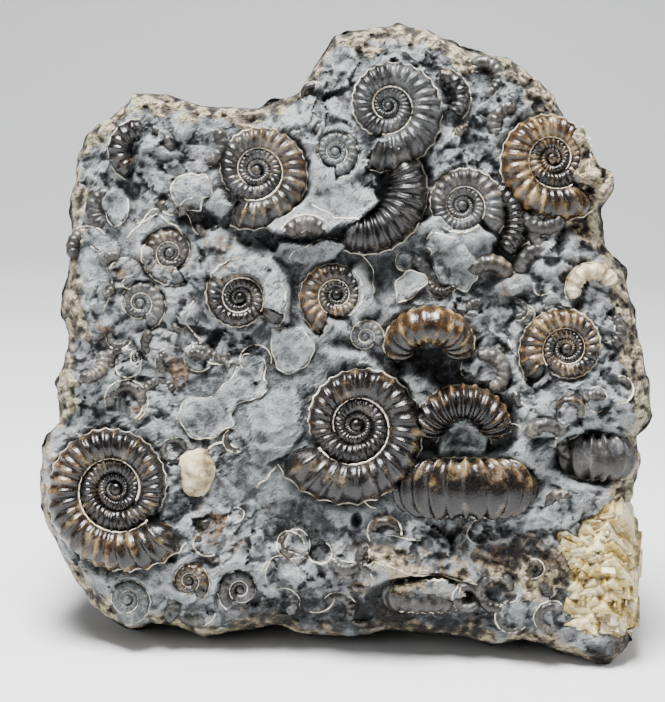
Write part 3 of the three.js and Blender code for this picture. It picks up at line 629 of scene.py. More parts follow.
def front_height(s, t):
    """The rim's fall, a quarter of an ellipse, plus the relief, the seats and then the roughness."""
    spot = np.stack([s, t], -1)
    inside = np.minimum(from_rim(s, t) / RIM_REACH, 1)
    relief = sum(lump(s, t, data) for data in SWELLS)
    relief = relief + sum(lump(s, t, data, 2.2) for data in LUMPS)
    smooth = worked_smooth(s, t)
    bent = swirled(spot, 5, 1.6, 61)
    rugged = (1 - 0.7 * smooth) * (0.6 + 0.4 * smoothstep(-0.5, 0.4, noise(spot, 17, 6)))
    broken = 1.1 * pebbles(bent, 8.5, 8) + 1.4 * chips(bent, 6.5, 9)
    relief = relief + 1.3 * rough(spot, 13, 5) + broken * rugged
    relief = relief + plate_rise(*np.moveaxis(crooked(spot), -1, 0))
    relief = relief - 2.6 * smoothstep(0.4, 3, polygon_depth(s, t, CORNER))
    low_left = np.clip((60 - s) / 120, 0, 1) * np.clip(1 - t / 125, 0, 1) ** 2
    fall = 1 - np.sqrt(1 - (1 - inside) ** 2)
    n = relief * np.sqrt(inside) - (RIM_DEPTH + RIM_DEPTH_LOW_LEFT * low_left) * fall
    seated = cut_seats(s, t, n)
    n = n + (seated - n) * smoothstep(0.3, 2.0, from_rim(s, t))
    n = lay_over(s, t, n)
    crust = crust_share(s, t)
    grain = 0.9 * chips(bent, 3.6, 21) + 0.5 * chips(spot, 1.9, 25) + 0.5 * rough(spot, 2.2, 31)
    coarse = 1.3 * np.abs(rough(spot, 3.4, 41)) + 0.5 * pebbles(bent, 2.7, 51)
    coarse = coarse + 0.7 * rough(spot, 1.5, 44, 2)
    coarse = (coarse - 0.3) * (0.7 + 0.3 * smoothstep(8, 20, t))
    return n + grain * rugged * (1 - crust) + coarse * crust


# %% [markdown]
# ## The block
# The front is a grid of about half a millimetre. Rings of points run on from its border, back to an
# upright rear, and close there. Points that would lie under the base are laid flat on it: the block is
# sawn off there, which is why it stands.

# %% Build the stone
ACROSS, UPWARD = 250, 258


def back_depth(s, t):
    """Depth behind the face at which the upright back stands, at a height on the leaning front."""
    rise = s * math.sin(ROLL) + t * math.cos(ROLL)
    return (rise * math.sin(LEAN) - BACK_AT) / math.cos(LEAN)


def border_indices(columns, rows):
    """The grid's border, counter-clockwise from its lower left corner."""
    low = np.arange(columns - 1)
    right_edge = np.arange(rows - 1) * columns + columns - 1
    top = (rows - 1) * columns + np.arange(columns - 1, 0, -1)
    left_edge = np.arange(rows - 1, 0, -1) * columns
    return np.concatenate([low, right_edge, top, left_edge])


def stone_rings(edge, shares):
    """Rings behind the border: each share goes from 0 at the rim to 1 at the back's middle."""
    rings = []
    for share in shares:
        back = smoothstep(0, 0.62, share) * 0.5 + min(share / 0.62, 1) * 0.5
        wide = 1 - 0.05 * min(share / 0.5, 1) - 0.95 * max(share - 0.5, 0) / 0.5
        flat = FACE_MIDDLE + (edge[:, :2] - FACE_MIDDLE) * wide
        n = edge[:, 2] + (back_depth(*flat.T) - edge[:, 2]) * back
        ring = np.column_stack([flat, n])
        rub = min(share * 8, 1)
        side_part = 1 - smoothstep(0.45, 0.7, share)
        swell = 1.3 * rough(ring, 12, 90, 2)
        swell = swell + (0.8 * rough(ring, 3.5, 62) + 0.3 * rough(ring, 1.6, 98, 2)) * side_part
        outward = (flat - FACE_MIDDLE) / np.maximum(np.hypot(*(flat - FACE_MIDDLE).T), 1)[:, None]
        ring[:, :2] += outward * (swell * rub * side_part - 0.8 * rub * side_part)[:, None]
        ring[:, 2] -= swell * rub * (1 - side_part) - 0.6 * (1 - side_part)
        rings.append(ring)
    return rings


def build_stone():
    """The front grid, full rings down the sides, half as many points over the back, and one pole."""
    flat = face_grid(np.linspace(0, 1, ACROSS), np.linspace(0, 1, UPWARD))
    near_rim = 1 - smoothstep(0, 5, from_rim(flat[..., 0], flat[..., 1]))
    flat = flat + (swirled(flat, 4.5, 0.9, 46) + swirled(flat, 2, 0.4, 48) - 2 * flat) * near_rim[..., None]
    s, t = flat[..., 0], flat[..., 1]
    n = front_height(s, t)
    front = np.stack([s, t, n], -1).reshape(-1, 3)
    border = border_indices(ACROSS, UPWARD)
    edge = front[border]
    sides = stone_rings(edge, np.linspace(0, 0.5, 17)[1:])
    rear = [ring[::2] for ring in stone_rings(edge, np.linspace(0.5, 0.97, 20)[1:])]
    pole = np.array([[*FACE_MIDDLE, back_depth(*FACE_MIDDLE)]])
    points = np.concatenate([front, *sides, *rear, pole])
    count, half = len(border), len(border) // 2
    start = len(front)
    first = np.stack([border, np.roll(border, -1), start + np.roll(np.arange(count), -1),
                      start + np.arange(count)], -1)[:, ::-1]
    side_faces = grid_faces(len(sides), count, True, start)[:, ::-1]
    last = start + (len(sides) - 1) * count
    rear_start = last + count
    pair = np.arange(half)
    middle = last + 2 * pair + 1
    even, after = last + 2 * pair, last + (2 * pair + 2) % count
    inner, inner_after = rear_start + pair, rear_start + (pair + 1) % half
    joint = np.concatenate([
        np.stack([even, inner, middle], -1), np.stack([middle, inner, inner_after], -1),
        np.stack([middle, inner_after, after], -1)])
    rear_faces = grid_faces(len(rear), half, True, rear_start)[:, ::-1]
    end_ring = rear_start + (len(rear) - 1) * half + pair
    cap = fan_faces(len(points) - 1, end_ring, turned=True)
    quads = np.concatenate([grid_faces(UPWARD, ACROSS), first, side_faces, rear_faces])
    return points, quads, np.concatenate([joint, cap]), n


stone_points, stone_quads, stone_triangles, front_n = build_stone()
print("stone:", len(stone_points), "points,", 2 * len(stone_quads) + len(stone_triangles), "triangles")

# %% [markdown]
# The stone's colour depends on where a spot lies: crust on the rim, sides and back, painted shade in the
# deep cracks, hollows and recesses, rust brown where crystals have stained it. These three shares are stored
# on the points.

# %% Tones of the stone
# s, t, radius, strength of the brown stain
STAINS = [(-34.8, 83, 4.5, 0.9), (-24.5, 83.7, 3.8, 0.9), (-43.5, 79.5, 3, 0.8), (-48, 68.7, 2, 1.0),
          (-34.1, 58.9, 4, 0.7), (-41.2, 51.1, 2, 0.9), (-26.2, 29.5, 4, 0.7), (-9.3, 24.6, 2.4, 0.9),
          (-32.3, 108.3, 2.4, 0.5), (33.5, 76.7, 3.2, 0.8), (-3, 78, 4, 0.5), (-31, 17.5, 4, 0.4),
          (22, 21, 9, 0.5), (38, 22, 7, 0.5), (-24, 24, 6, 0.4), (44, 118, 5, 0.4), (-50, 24, 4, 0.5),
          (-36, 66, 4, 0.4), (-45, 62, 4, 0.35), (-20, 11, 4, 0.35)]
# s, t, half-widths, turn, strength of the painted shade: patches of painted shadow under ledges and shells
# and in recesses
SHADE_PATCHES = [(8, 10.5, 27, 4.2, -2, 0.9), (17, 61, 6, 3.4, 0, 1.0), (26, 25, 18, 3.4, -3, 0.3),
         (-9.7, 29.4, 5, 3.2, -8, 0.9), (10, 99.6, 8, 2, 15, 0.5), (-29.2, 90.6, 3.8, 1.6, -15, 0.7),
         (33.8, 98, 2.4, 6, 10, 0.7), (24, 46, 5, 2.2, 0, 0.1), (35, 24, 10, 4, -10, 0.3),
         (54, 2.5, 5, 3, 0, 1.0), (30, 118, 8, 3, -10, 0.3), (2.5, 29.6, 1, 1.5, 0, 0.9)]


def blurred(field, reach):
    """Mean over a square of the grid, from running sums along each way."""
    width = 2 * reach + 1
    for _ in range(2):
        total = np.cumsum(np.pad(field, [(reach + 1, reach), (0, 0)], "edge"), axis=0)
        field = ((total[width:] - total[:-width]) / width).T
    return field


def stone_tone():
    """Red is crust, green is painted shade: 0.3 on level stone and more in hollows. Blue is brown stain."""
    front = front_n.size
    s, t = stone_points[:, 0], stone_points[:, 1]
    tone = np.zeros((len(s), 3))
    tone[:front, 0] = crust_share(s[:front], t[:front])
    behind = stone_points[front:]
    tone[front:, 0] = 0.25 + 0.7 * smoothstep(-34, -14, behind[:, 2]) + 0.4 * rough(behind, 12, 60, 2)
    # Painted shade: darker where the front lies below its blurred height, in cracks and hollows
    hollow = (blurred(front_n, 3) - front_n) / 1.8 + (blurred(front_n, 12) - front_n) / 11
    tone[:front, 1] = 0.3 + np.clip(hollow, -0.3, 0.42).ravel()
    tone[front:, 1] = 0.32 - 0.35 * rough(behind, 5, 62, 2) * smoothstep(-34, -14, behind[:, 2])
    # Painted shadow patches, broken up by noise
    painted_shade = sum(lump(s, t, data, 1.5) for data in SHADE_PATCHES)
    ragged = 0.75 + 0.5 * rough(stone_points, 3, 66)
    tone[:front, 1] += (painted_shade * ragged)[:front]
    for s0, t0, radius, strength in STAINS:
        spot = lump(s, t, (s0, t0, radius, radius, 0, strength), 1.2)
        tone[:front, 2] += spot[:front] * np.clip(0.6 + 1.1 * rough(stone_points[:front], 2.2, 80), 0, 1)
    return tone


stone_world = from_face(stone_points)
stone_world[:, 2] = np.maximum(stone_world[:, 2], 0)
stone = new_mesh("limestone_block", stone_world, stone_quads, stone_triangles, stone_tone(),
                 smooth=False)

# %% [markdown]
# ## The shells
# A coil is one tube wound up. Going back along it by a share of a turn, both its distance from the
# middle and its thickness shrink by the same factor. Ribs are narrow rounded swells across the tube,
# strongest on its side and weaker where the turn inside touches it.

# %% Shell surfaces


def placed(x, y, z, at, tilt):
    """Turn local points about y, then about x, by tilt in degrees, and move them to their place."""
    turn_x, turn_y = (math.radians(angle) for angle in tilt)
    x, z = x * math.cos(turn_y) + z * math.sin(turn_y), z * math.cos(turn_y) - x * math.sin(turn_y)
    y, z = y * math.cos(turn_x) - z * math.sin(turn_x), y * math.sin(turn_x) + z * math.cos(turn_x)
    return np.stack([x + at[0], y + at[1], z + at[2]], -1)


def closed_tube(points, tone, turned):
    """Faces of a tube grid whose rows are rings, closed at both ends by a pole."""
    rows, around = points.shape[:2]
    poles = np.stack([points[0].mean(0), points[-1].mean(0)])
    flat = np.concatenate([points.reshape(-1, 3), poles])
    tones = np.concatenate([tone.reshape(-1, 3), tone[0, :1], tone[-1, :1]])
    quads = grid_faces(rows, around, True)
    near = fan_faces(rows * around, np.arange(around), turned=True)
    far = fan_faces(rows * around + 1, (rows - 1) * around + np.arange(around))
    triangles = np.concatenate([near, far])
    if turned:
        quads, triangles = quads[:, ::-1], triangles[:, ::-1]
    return flat, quads, triangles, tones


def shell_tone(points, angle, rib, honey, grey, seed):
    """Red is honey, stronger towards one side, green is the rib's crest, blue is grey dust in furrows."""
    amount, towards = honey
    lean = np.cos(angle - math.radians(towards))
    patch = rough(points, 3.2, seed)
    red = amount * (1 + 0.7 * lean) + 0.35 * patch * (amount > 0.02)
    blue = grey * (1.1 - 0.5 * rib) + 0.3 * rough(points, 2.4, seed + 7) * grey
    return np.stack([red, rib, blue], -1)


def rib_wave(phase, width=0.5):
    """A crest of height 1 once a turn of the phase: exp of minus the squared half-angle sine."""
    return np.exp(-((np.sin(phase / 2) / width) ** 2))


def end_round(share, length):
    """Square-root start and end, so the tube closes like the end of an egg."""
    near = np.clip(share / length, 0, 1)
    far = np.clip((1 - share) / length, 0, 1)
    return np.sqrt(np.clip(near * (2 - near), 0.02, 1)) * np.sqrt(np.clip(far * (2 - far), 0.02, 1))


def coil_surface(coil, seed):
    """Radius middle + half cos a, height bulge half sin a, on a spiral that shrinks by growth each turn."""
    big = coil["radius"] > 8
    per_rib, around = (8, 26) if big else (6, 18)
    back = np.linspace(0, coil["turns"], int(coil["turns"] * coil["ribs"] * per_rib) + 1)[:, None]
    ring = np.linspace(0, 2 * math.pi, around, endpoint=False)[None, :]
    outer = coil["radius"] * coil["growth"] ** -back
    inner = outer / coil["growth"]
    rounding = end_round(back / coil["turns"], 0.012)
    half = (outer - inner) / 2 * 1.07 * rounding
    middle = (outer + inner) / 2
    angle = math.radians(coil["aperture"]) + coil["hand"] * 2 * math.pi * back
    uneven = 0.5 * np.cos(ring) + 0.5 * np.sin(angle * 3 + seed) + 0.4 * np.sin(angle * 7 + seed)
    rib = rib_wave(coil["ribs"] * 2 * math.pi * back + uneven, 0.7)
    outside = smoothstep(-0.7, 0.3, np.cos(ring))
    swell = 1 + 0.18 * (rib - 0.5) * (0.3 + 0.7 * outside)
    r = middle + half * np.cos(ring) * swell
    z = 0.9 * half * np.sin(ring) * (1 + 0.3 * (rib - 0.5) * (0.35 + 0.65 * outside))
    points = placed(r * np.cos(angle), r * np.sin(angle), z, coil["at"], coil.get("tilt", (0, 0)))
    points = points + 0.02 * coil["radius"] * 0.5 * rough(points, 1.6, seed)[..., None] * [0, 0, 1]
    tone = shell_tone(points, np.broadcast_to(angle, rib.shape), rib, coil["honey"], coil["grey"], seed)
    tone[..., 0] *= 1 - 0.6 * smoothstep(0.9, 1.05, back)
    tube = closed_tube(points, tone, coil["hand"] < 0)
    return join_parts([tube, first_chamber(coil, tone[-1, 0])])


def first_chamber(coil, colour, rows=9, around=18):
    """The bulb that the shell began with, in the middle of the coil: a low ball in angles."""
    radius = coil["radius"] * coil["growth"] ** -(coil["turns"] + 0.5)
    up = np.linspace(-math.pi / 2, math.pi / 2, rows + 2)[1:-1, None]
    turn = np.linspace(0, 2 * math.pi, around, endpoint=False)[None, :]
    flat = radius * np.cos(up)
    points = placed(flat * np.cos(turn), flat * np.sin(turn), 0.7 * radius * np.sin(up) + 0 * turn,
                    coil["at"], coil.get("tilt", (0, 0)))
    return closed_tube(points, np.broadcast_to(colour, points.shape), False)


def whorl_surface(whorl, seed, per_rib=10, around=28):
    """Tube on an arc: radius arc + across cos a, height high sin a, narrow at its ends, with painted shade
    below.
    """
    share = np.linspace(0, 1, whorl["ribs"] * per_rib + 1)[:, None]
    ring = np.linspace(0, 2 * math.pi, around, endpoint=False)[None, :]
    angle = np.radians(whorl["span"][0] + (whorl["span"][1] - whorl["span"][0]) * share)
    width = (0.8 + 0.2 * np.sin(math.pi * share) ** 0.6) * end_round(share, 0.05)
    uneven = 0.4 * np.cos(ring) + 0.5 * np.sin(angle * 4 + seed)
    rib = rib_wave(whorl["ribs"] * 2 * math.pi * share + uneven, 0.7)
    swell = 1 + whorl.get("ribbing", 0.19) * (rib - 0.5)
    r = whorl["arc"] + whorl["across"] * width * np.cos(ring) * swell
    z = whorl["high"] * width * np.sin(ring) * swell
    crown = whorl["arc"] + whorl["across"]
    y = crown - (crown - r * np.sin(angle)) * whorl.get("arched", 1)
    points = placed(r * np.cos(angle), y, z, whorl["at"], (whorl["tilt"], 0))
    points = points + whorl.get("worn", 0.1) * rough(points, 1.8, seed)[..., None] * [0, 0.5, 1]
    tone = shell_tone(points, np.broadcast_to(angle, rib.shape), rib, whorl["honey"], whorl["grey"], seed)
    tilt = math.radians(whorl["tilt"])
    # Painted shade: honey and dust fade where the surface faces down, so the lower side is darker
    upward = np.cos(ring) * np.sin(angle) * math.cos(tilt) - np.sin(ring) * math.sin(tilt)
    tone[..., [0, 2]] *= (0.25 + 0.75 * smoothstep(-0.5, 0.5, upward))[..., None]
    return closed_tube(points, tone, False)


# %% Build the shells
shells = {}
for order, (name, coil) in enumerate(COILS.items()):
    points, quads, triangles, tone = coil_surface(coil, 200 + order)
    shells[name] = new_mesh(name + "_shell", from_face(points), quads, triangles, tone)
for order, (name, whorl) in enumerate(WHORLS.items()):
    points, quads, triangles, tone = whorl_surface(whorl, 300 + order)
    shells[name] = new_mesh(name + "_shell", from_face(points), quads, triangles, tone)
print("shells:", len(shells), "with", sum(len(p.data.polygons) for p in shells.values()), "faces")

# %% [markdown]
# ## Small shell pieces in the stone
# Between the large shells the stone is full of small broken whorls that only just show. They belong to
# the stone, so they are one piece, made by the same tube.

# %% Fragments
# s, t, n, arc, across, first angle, last angle, ribs, tilt, grey
FRAGMENTS = [
    (-30, 12.4, 0.3, 3.4, 1.5, 200, 340, 6, 0, 0.9), (-36.8, 12.2, 0.2, 2.6, 1.6, -70, 80, 6, 0, 0.9),
    (39.4, 79.6, 0.6, 4.2, 1.7, 60, 190, 6, 0, 0.8), (28.8, 77.2, 0.8, 4, 1.9, 20, 150, 6, 20, 0.3),
    (42.6, 87.6, 0.6, 4.6, 1.9, 100, 230, 7, 0, 0.9), (-44.6, 61, 0.0, 2.6, 1.3, 0, 250, 9, 0, 0.8),
    (-43.6, 53.2, 0.0, 3.2, 1.4, -60, 200, 9, 0, 0.85), (-15.4, 27.4, -1, 5.4, 1.7, 30, 110, 6, 0, 0.5),
    (-24.8, 66.6, 0.2, 4.6, 1.5, 190, 300, 7, 0, 0.5), (11.6, 61.2, 0.0, 3, 1.5, 150, 320, 7, 0, 0.9),
    (28.4, 59.2, 0.4, 3.4, 1.6, -80, 120, 8, 0, 0.75), (52.2, 67.4, 0.6, 3.2, 1.5, -60, 60, 5, 0, 0.6),
    (39.8, 46, 0.6, 3.4, 1.5, 20, 160, 6, 30, 0.8), (-46.8, 91.6, 0.6, 3.4, 1.6, 90, 250, 7, 0, 0.95),
    (-7.4, 84, -0.4, 4.6, 2, 40, 150, 6, 0, 0.5), (33.6, 108.4, 0.8, 3.6, 1.6, 80, 220, 7, 0, 0.6),
    (-27.4, 104.6, 0.8, 3.2, 1.4, -90, 60, 6, 0, 0.8), (12.4, 78.4, -0.8, 3.8, 1.5, -70, 70, 6, 0, 0.9),
    (-10.6, 24.6, 0.4, 1.9, 1.0, 0, 300, 8, 0, 0.3), (30.6, 15, 1.2, 3.2, 1.2, 0, 330, 12, 0, 0.7),
    (24.8, 14, -1, 2.2, 1, 0, 330, 8, 0, 0.85), (-34, 43.6, 0.2, 2.2, 0.9, 0, 330, 9, 0, 0.5),
    (39.6, 92.4, 0.4, 4.4, 1.8, 200, 330, 6, 0, 0.8), (-38.4, 104.2, 0.8, 3.4, 1.4, -40, 90, 6, 0, 0.7),
    (46.6, 45.2, -0.2, 3, 1.5, 110, 250, 5, 0, 0.8), (-4.6, 22.8, -0.6, 2.2, 0.9, 30, 330, 7, 0, 0.9),
]


def fragment(data):
    """A short whorl from one line of the list, sunk to half its thickness in the stone."""
    s, t, n, arc, across, first, last, ribs, tilt, grey, honey = data
    middle = math.radians((first + last) / 2)
    place = np.array([s + arc * math.cos(middle)]), np.array([t + arc * math.sin(middle)])
    lift = float(front_height(*place)[0])
    return dict(at=(s, t, lift + n - 0.5 * across), arc=arc, across=across, high=across * 1.1, ribs=ribs,
                span=(first, last), tilt=tilt, honey=(honey, 90), grey=grey * 0.75, ribbing=0.13)


def scattered(count, seed):
    """Lines of the list at random free places: clear of the shells, of the rim and of each other."""
    random = np.random.default_rng(seed)
    taken = [(*coil["at"][:2], coil["radius"]) for coil in COILS.values()]
    taken += [(*whorl["at"][:2], whorl["arc"] + whorl["across"]) for whorl in WHORLS.values()]
    taken += [(*data[:2], data[3]) for data in FRAGMENTS]
    found = []
    for _ in range(4000):
        s, t = random.uniform(-54, 56), random.uniform(8, 124)
        arc = random.uniform(1.5, 3.6)
        clear = all(math.hypot(s - a, t - b) > r + arc for a, b, r in taken)
        spot = np.array([s]), np.array([t])
        if not clear or from_rim(*spot)[0] < 5 or worked_smooth(*spot)[0] > 0.5:
            continue
        if polygon_depth(*spot, CORNER)[0] > -2:
            continue
        first = random.uniform(0, 360)
        found.append((s, t, 0, arc, arc * random.uniform(0.36, 0.5), first,
                      first + random.uniform(100, 250), int(3 + arc * 2), random.uniform(-20, 30),
                      random.uniform(0.3, 1), random.choice([0.05, 0.1, 0.5])))
        taken.append((s, t, arc * 0.9))
        if len(found) == count:
            break
    return found


PLAIN_HONEY = 0.1
small_whorls = [fragment((*data, PLAIN_HONEY)) for data in FRAGMENTS]
small_whorls += [fragment(data) for data in scattered(count=48, seed=3)]
points, quads, triangles, tone = join_parts(
    [whorl_surface(whorl, 400 + order, 7, 16) for order, whorl in enumerate(small_whorls)])
fragments = new_mesh("shell_fragments", from_face(points), quads, triangles, tone)
print("small whorls:", len(small_whorls), "with", 2 * len(quads), "triangles")

# %% [markdown]
# ## Lines of cut shell
# Where the stone's surface cuts through a shell, its wall shows as a thin white line. Round the standing
# ammonites the same line follows their edge, in and out with every rib. Each line is a thin flattened
# thread laid on the stone's own height.

# %% Thread surfaces


def thread(path, radius, closed=False, sides=6):
    """A tube of the given radius round a path, squashed to half towards the stone."""
    ahead = np.roll(path, -1, 0) - np.roll(path, 1, 0) if closed else np.gradient(path, axis=0)
    ahead = ahead / np.maximum(np.linalg.norm(ahead, axis=1), 1e-9)[:, None]
    beside = np.cross(ahead, [0, 0, 1.0])
    beside = beside / np.maximum(np.linalg.norm(beside, axis=1), 1e-9)[:, None]
    out = np.cross(beside, ahead)
    turn = np.linspace(0, 2 * math.pi, sides, endpoint=False)[None, :, None]
    wide = np.broadcast_to(radius, (len(path),))[:, None, None]
    points = (path[:, None] + wide * np.cos(turn) * beside[:, None]
              + 0.7 * wide * np.sin(turn) * out[:, None])
    tone = np.ones(points.shape)
    if not closed:
        return closed_tube(points, tone, False)
    rows = len(path)
    quads = grid_faces(rows + 1, sides, True) % (rows * sides)
    return points.reshape(-1, 3), quads, np.zeros((0, 3), int), tone.reshape(-1, 3)


def on_stone(s, t, lift=0.0):
    """Points on the front at s and t, raised by lift."""
    return np.stack([s, t, front_height(s, t) + lift], -1)


def line_width(path, radius, seed):
    """The radius with a slow random change along the line, down to almost nothing in places."""
    return radius * np.clip(0.85 + 0.9 * noise(path, 4, seed) + 0.3 * noise(path, 1.2, seed), 0.12, 1.5)


# %% Lines of the cut shells
LINES = [
    [(2, 84.4), (5.2, 80.2), (5.8, 75.4), (4.8, 73.6)],
    [(-10.8, 82.4), (-8.2, 85), (-4, 86), (-0.2, 85)],
    [(-14, 40.6), (-15.6, 38.6), (-17.6, 36.2)],
    [(6.8, 27), (11, 26.2), (15.6, 26)],
    [(-2.4, 22.6), (5, 21.4), (14, 19), (22, 18), (26, 16.4)],
    [(31.6, 90.6), (32.2, 88.4), (31.2, 86)],
    [(-41.2, 88.4), (-37, 90.2), (-33.4, 88.6), (-31.2, 85)],
    [(-42.6, 86), (-38.4, 91.6), (-32.6, 90.6), (-29.2, 87)],
    [(-50.6, 84), (-47, 80.6), (-46.6, 75), (-48.6, 70)],
    [(-8, 36), (-3, 33.6), (3, 34.4), (6, 32)],
    [(33, 66), (36, 60), (34, 55), (37, 50)],
    [(-30, 74), (-31, 69), (-28, 64.6)],
    [(-6.6, 92), (-2, 89.4), (3, 89.8), (8.4, 87)],
    [(36, 84), (38.6, 87), (37.6, 90.6)],
    [(18.4, 45), (19.2, 47.8), (21.2, 49.7), (24, 50.3), (26.8, 49.3), (28.6, 46.4), (29.6, 44.6)],
]


def stone_line(points, seed, closed=False):
    """A line through its corners, each point eased towards its neighbours, then moved as the broken
    edges of the plates are, and waved a little."""
    points = np.array(points + points[:1] if closed else points, float)
    count = int(np.hypot(*np.diff(points, axis=0).T).sum() / 0.4)
    path = along(points, np.linspace(0, 1, count, endpoint=not closed))
    for _ in range(3):
        eased = (np.roll(path, 1, 0) + 2 * path + np.roll(path, -1, 0)) / 4
        path = eased if closed else np.concatenate([path[:1], eased[1:-1], path[-1:]])
    path = 2 * path - crooked(path)
    wave = 0.2 * noise(path, 1.1, seed)
    laid = on_stone(path[:, 0] + wave, path[:, 1] - wave, 0.05)
    return thread(laid, line_width(laid, 0.15, seed), closed)


def stone_ring(data, seed):
    """An uneven oval line that goes part of the way round a pebble."""
    s0, t0, half_s, half_t, _ = data
    angle = seed * 2.4 + np.linspace(0, 3.2 + seed % 3, int(7 * (half_s + half_t)))
    round_path = np.stack([np.cos(angle), np.sin(angle)], -1)
    uneven = 1 + 0.1 * noise(round_path * 2, 1.3, seed)
    laid = on_stone(s0 + half_s * uneven * round_path[:, 0], t0 + half_t * uneven * round_path[:, 1], 0.04)
    return thread(laid, line_width(laid, 0.14, seed))


def coil_edge_line(coil, seed):
    """The line round a coil: its outer radius with a scallop at each rib, laid on the stone."""
    count = int(10 * coil["ribs"])
    back = np.linspace(0.01, 0.97, count)
    angle = math.radians(coil["aperture"]) + coil["hand"] * 2 * math.pi * back
    rib = rib_wave(coil["ribs"] * 2 * math.pi * back + 0.5, 0.6)
    r = coil["radius"] * coil["growth"] ** -back * (1 + 0.035 * rib) + 0.16
    laid = on_stone(coil["at"][0] + r * np.cos(angle), coil["at"][1] + r * np.sin(angle), 0.06)
    laid[:, 2] = np.maximum(laid[:, 2], coil_plane(laid[:, 0], laid[:, 1], coil) - 1.0)
    return thread(laid, line_width(laid, 0.15, seed))


def coil_seam_line(coil, seed):
    """The line in the seam between the last turn and the one inside it, at the inner turn's shoulder."""
    count = int(8 * coil["ribs"])
    back = np.linspace(0.02, 0.98, count)
    angle = math.radians(coil["aperture"]) + coil["hand"] * 2 * math.pi * back
    outer = coil["radius"] * coil["growth"] ** -(back + 1)
    rib = rib_wave(coil["ribs"] * 2 * math.pi * back, 0.6)
    r = outer * (1.0 + 0.02 * rib)
    z = 0.4 * (outer - outer / coil["growth"])
    laid = placed(r * np.cos(angle), r * np.sin(angle), z, coil["at"], coil.get("tilt", (0, 0)))
    return thread(laid, line_width(laid, 0.014 * coil["radius"] ** 0.8 + 0.05, seed))


def whorl_edge_line(whorl, seed, outward):
    """The line along the outer or inner edge of a whorl that lies flat, laid on the stone."""
    share = np.linspace(0.03, 0.97, whorl["ribs"] * 9)
    angle = np.radians(whorl["span"][0] + (whorl["span"][1] - whorl["span"][0]) * share)
    rib = rib_wave(whorl["ribs"] * 2 * math.pi * share + 0.4, 0.6)
    narrow = 0.8 + 0.2 * np.sin(math.pi * share) ** 0.6
    r = whorl["arc"] + outward * (whorl["across"] * narrow * (1 + 0.06 * rib) + 0.12)
    flat = math.cos(math.radians(whorl["tilt"]))
    s, t = whorl["at"][0] + r * np.cos(angle), whorl["at"][1] + r * np.sin(angle) * flat
    laid = on_stone(s, t, 0.05)
    laid[:, 2] = np.maximum(laid[:, 2], whorl["at"][2] - 1.2)
    return thread(laid, line_width(laid, 0.15, seed))


def edge_on_line(whorl, seed, upward):
    """The wavy line above or below a whorl that shows its outside."""
    share = np.linspace(-0.96, 0.96, whorl["ribs"] * 10)
    half = whorl["arc"] + 0.3 * whorl["across"]
    rib = rib_wave(whorl["ribs"] * math.pi * share, 0.6)
    t = whorl["at"][1] + upward * (whorl["high"] * np.sqrt(1 - (share * 0.98) ** 4) + 0.2 + 0.25 * rib)
    laid = on_stone(whorl["at"][0] + half * share, t, 0.05)
    return thread(laid, line_width(laid, 0.15, seed))


parts = [stone_line(data, 500 + k) for k, data in enumerate(LINES)]
parts += [stone_line(data[0], 520 + k, True) for k, data in enumerate(PLATES) if data[1] > 0.95]
parts += [stone_ring(data, 530 + k) for k, data in enumerate(PEBBLES)]
parts += [whorl_edge_line(whorl, 640 + k, 0.82) for k, whorl in enumerate(small_whorls[::2])]
parts += [coil_edge_line(coil, 560 + k) for k, coil in enumerate(COILS.values())]
parts += [coil_seam_line(coil, 580 + k) for k, coil in enumerate(COILS.values())]
for k, whorl in enumerate(WHORLS.values()):
    if whorl["tilt"] > 80:
        parts += [edge_on_line(whorl, 600 + k, way) for way in (1, -1)]
    else:
        parts += [whorl_edge_line(whorl, 600 + k, 1)]
points, quads, triangles, tone = join_parts(parts)
lines = new_mesh("shell_lines", from_face(points), quads, triangles, tone)
print("lines of cut shell:", len(parts))

# %% [markdown]
# ## Calcite crystals
# Calcite breaks and grows in slanted blocks with flat shiny faces, called rhombs. The corner is covered
# with many rhombs of different sizes, turned at random and grown into each other.

# %% Crystals
RHOMB_SLANT = 0.16
CLEAR_OF_BASE = 0.3 * MM
WORN_EDGE = 0.25 * MM


def rhombs(middles, sizes, random):
    """Slanted boxes: corners of a cube, sheared, turned by random angles, scaled and moved."""
    cube = np.array(list(itertools.product((-0.5, 0.5), repeat=3)))
    cube = cube + RHOMB_SLANT * cube[:, [1, 2, 0]]
    a, b = random.normal(0.75, 0.3, (2, len(middles)))
    zero, one = np.zeros_like(a), np.ones_like(a)
    spin = np.stack([np.cos(a), -np.sin(a), zero, np.sin(a), np.cos(a), zero, zero, zero, one], -1)
    tip = np.stack([one, zero, zero, zero, np.cos(b), -np.sin(b), zero, np.sin(b), np.cos(b)], -1)
    turn = tip.reshape(-1, 3, 3) @ spin.reshape(-1, 3, 3)
    stretch = random.uniform(0.8, 1.15, (len(middles), 1, 3))
    points = (cube[None] * stretch * sizes[:, None, None]) @ np.swapaxes(turn, 1, 2) + middles[:, None]
    faces = np.array([(0, 1, 3, 2), (4, 6, 7, 5), (0, 4, 5, 1), (2, 3, 7, 6), (0, 2, 6, 4), (1, 5, 7, 3)])
    quads = (faces[None] + 8 * np.arange(len(middles))[:, None, None]).reshape(-1, 4)
    tone = np.repeat(random.uniform(0, 1, (len(middles), 3)), 8, axis=0)
    return points.reshape(-1, 3), quads, tone


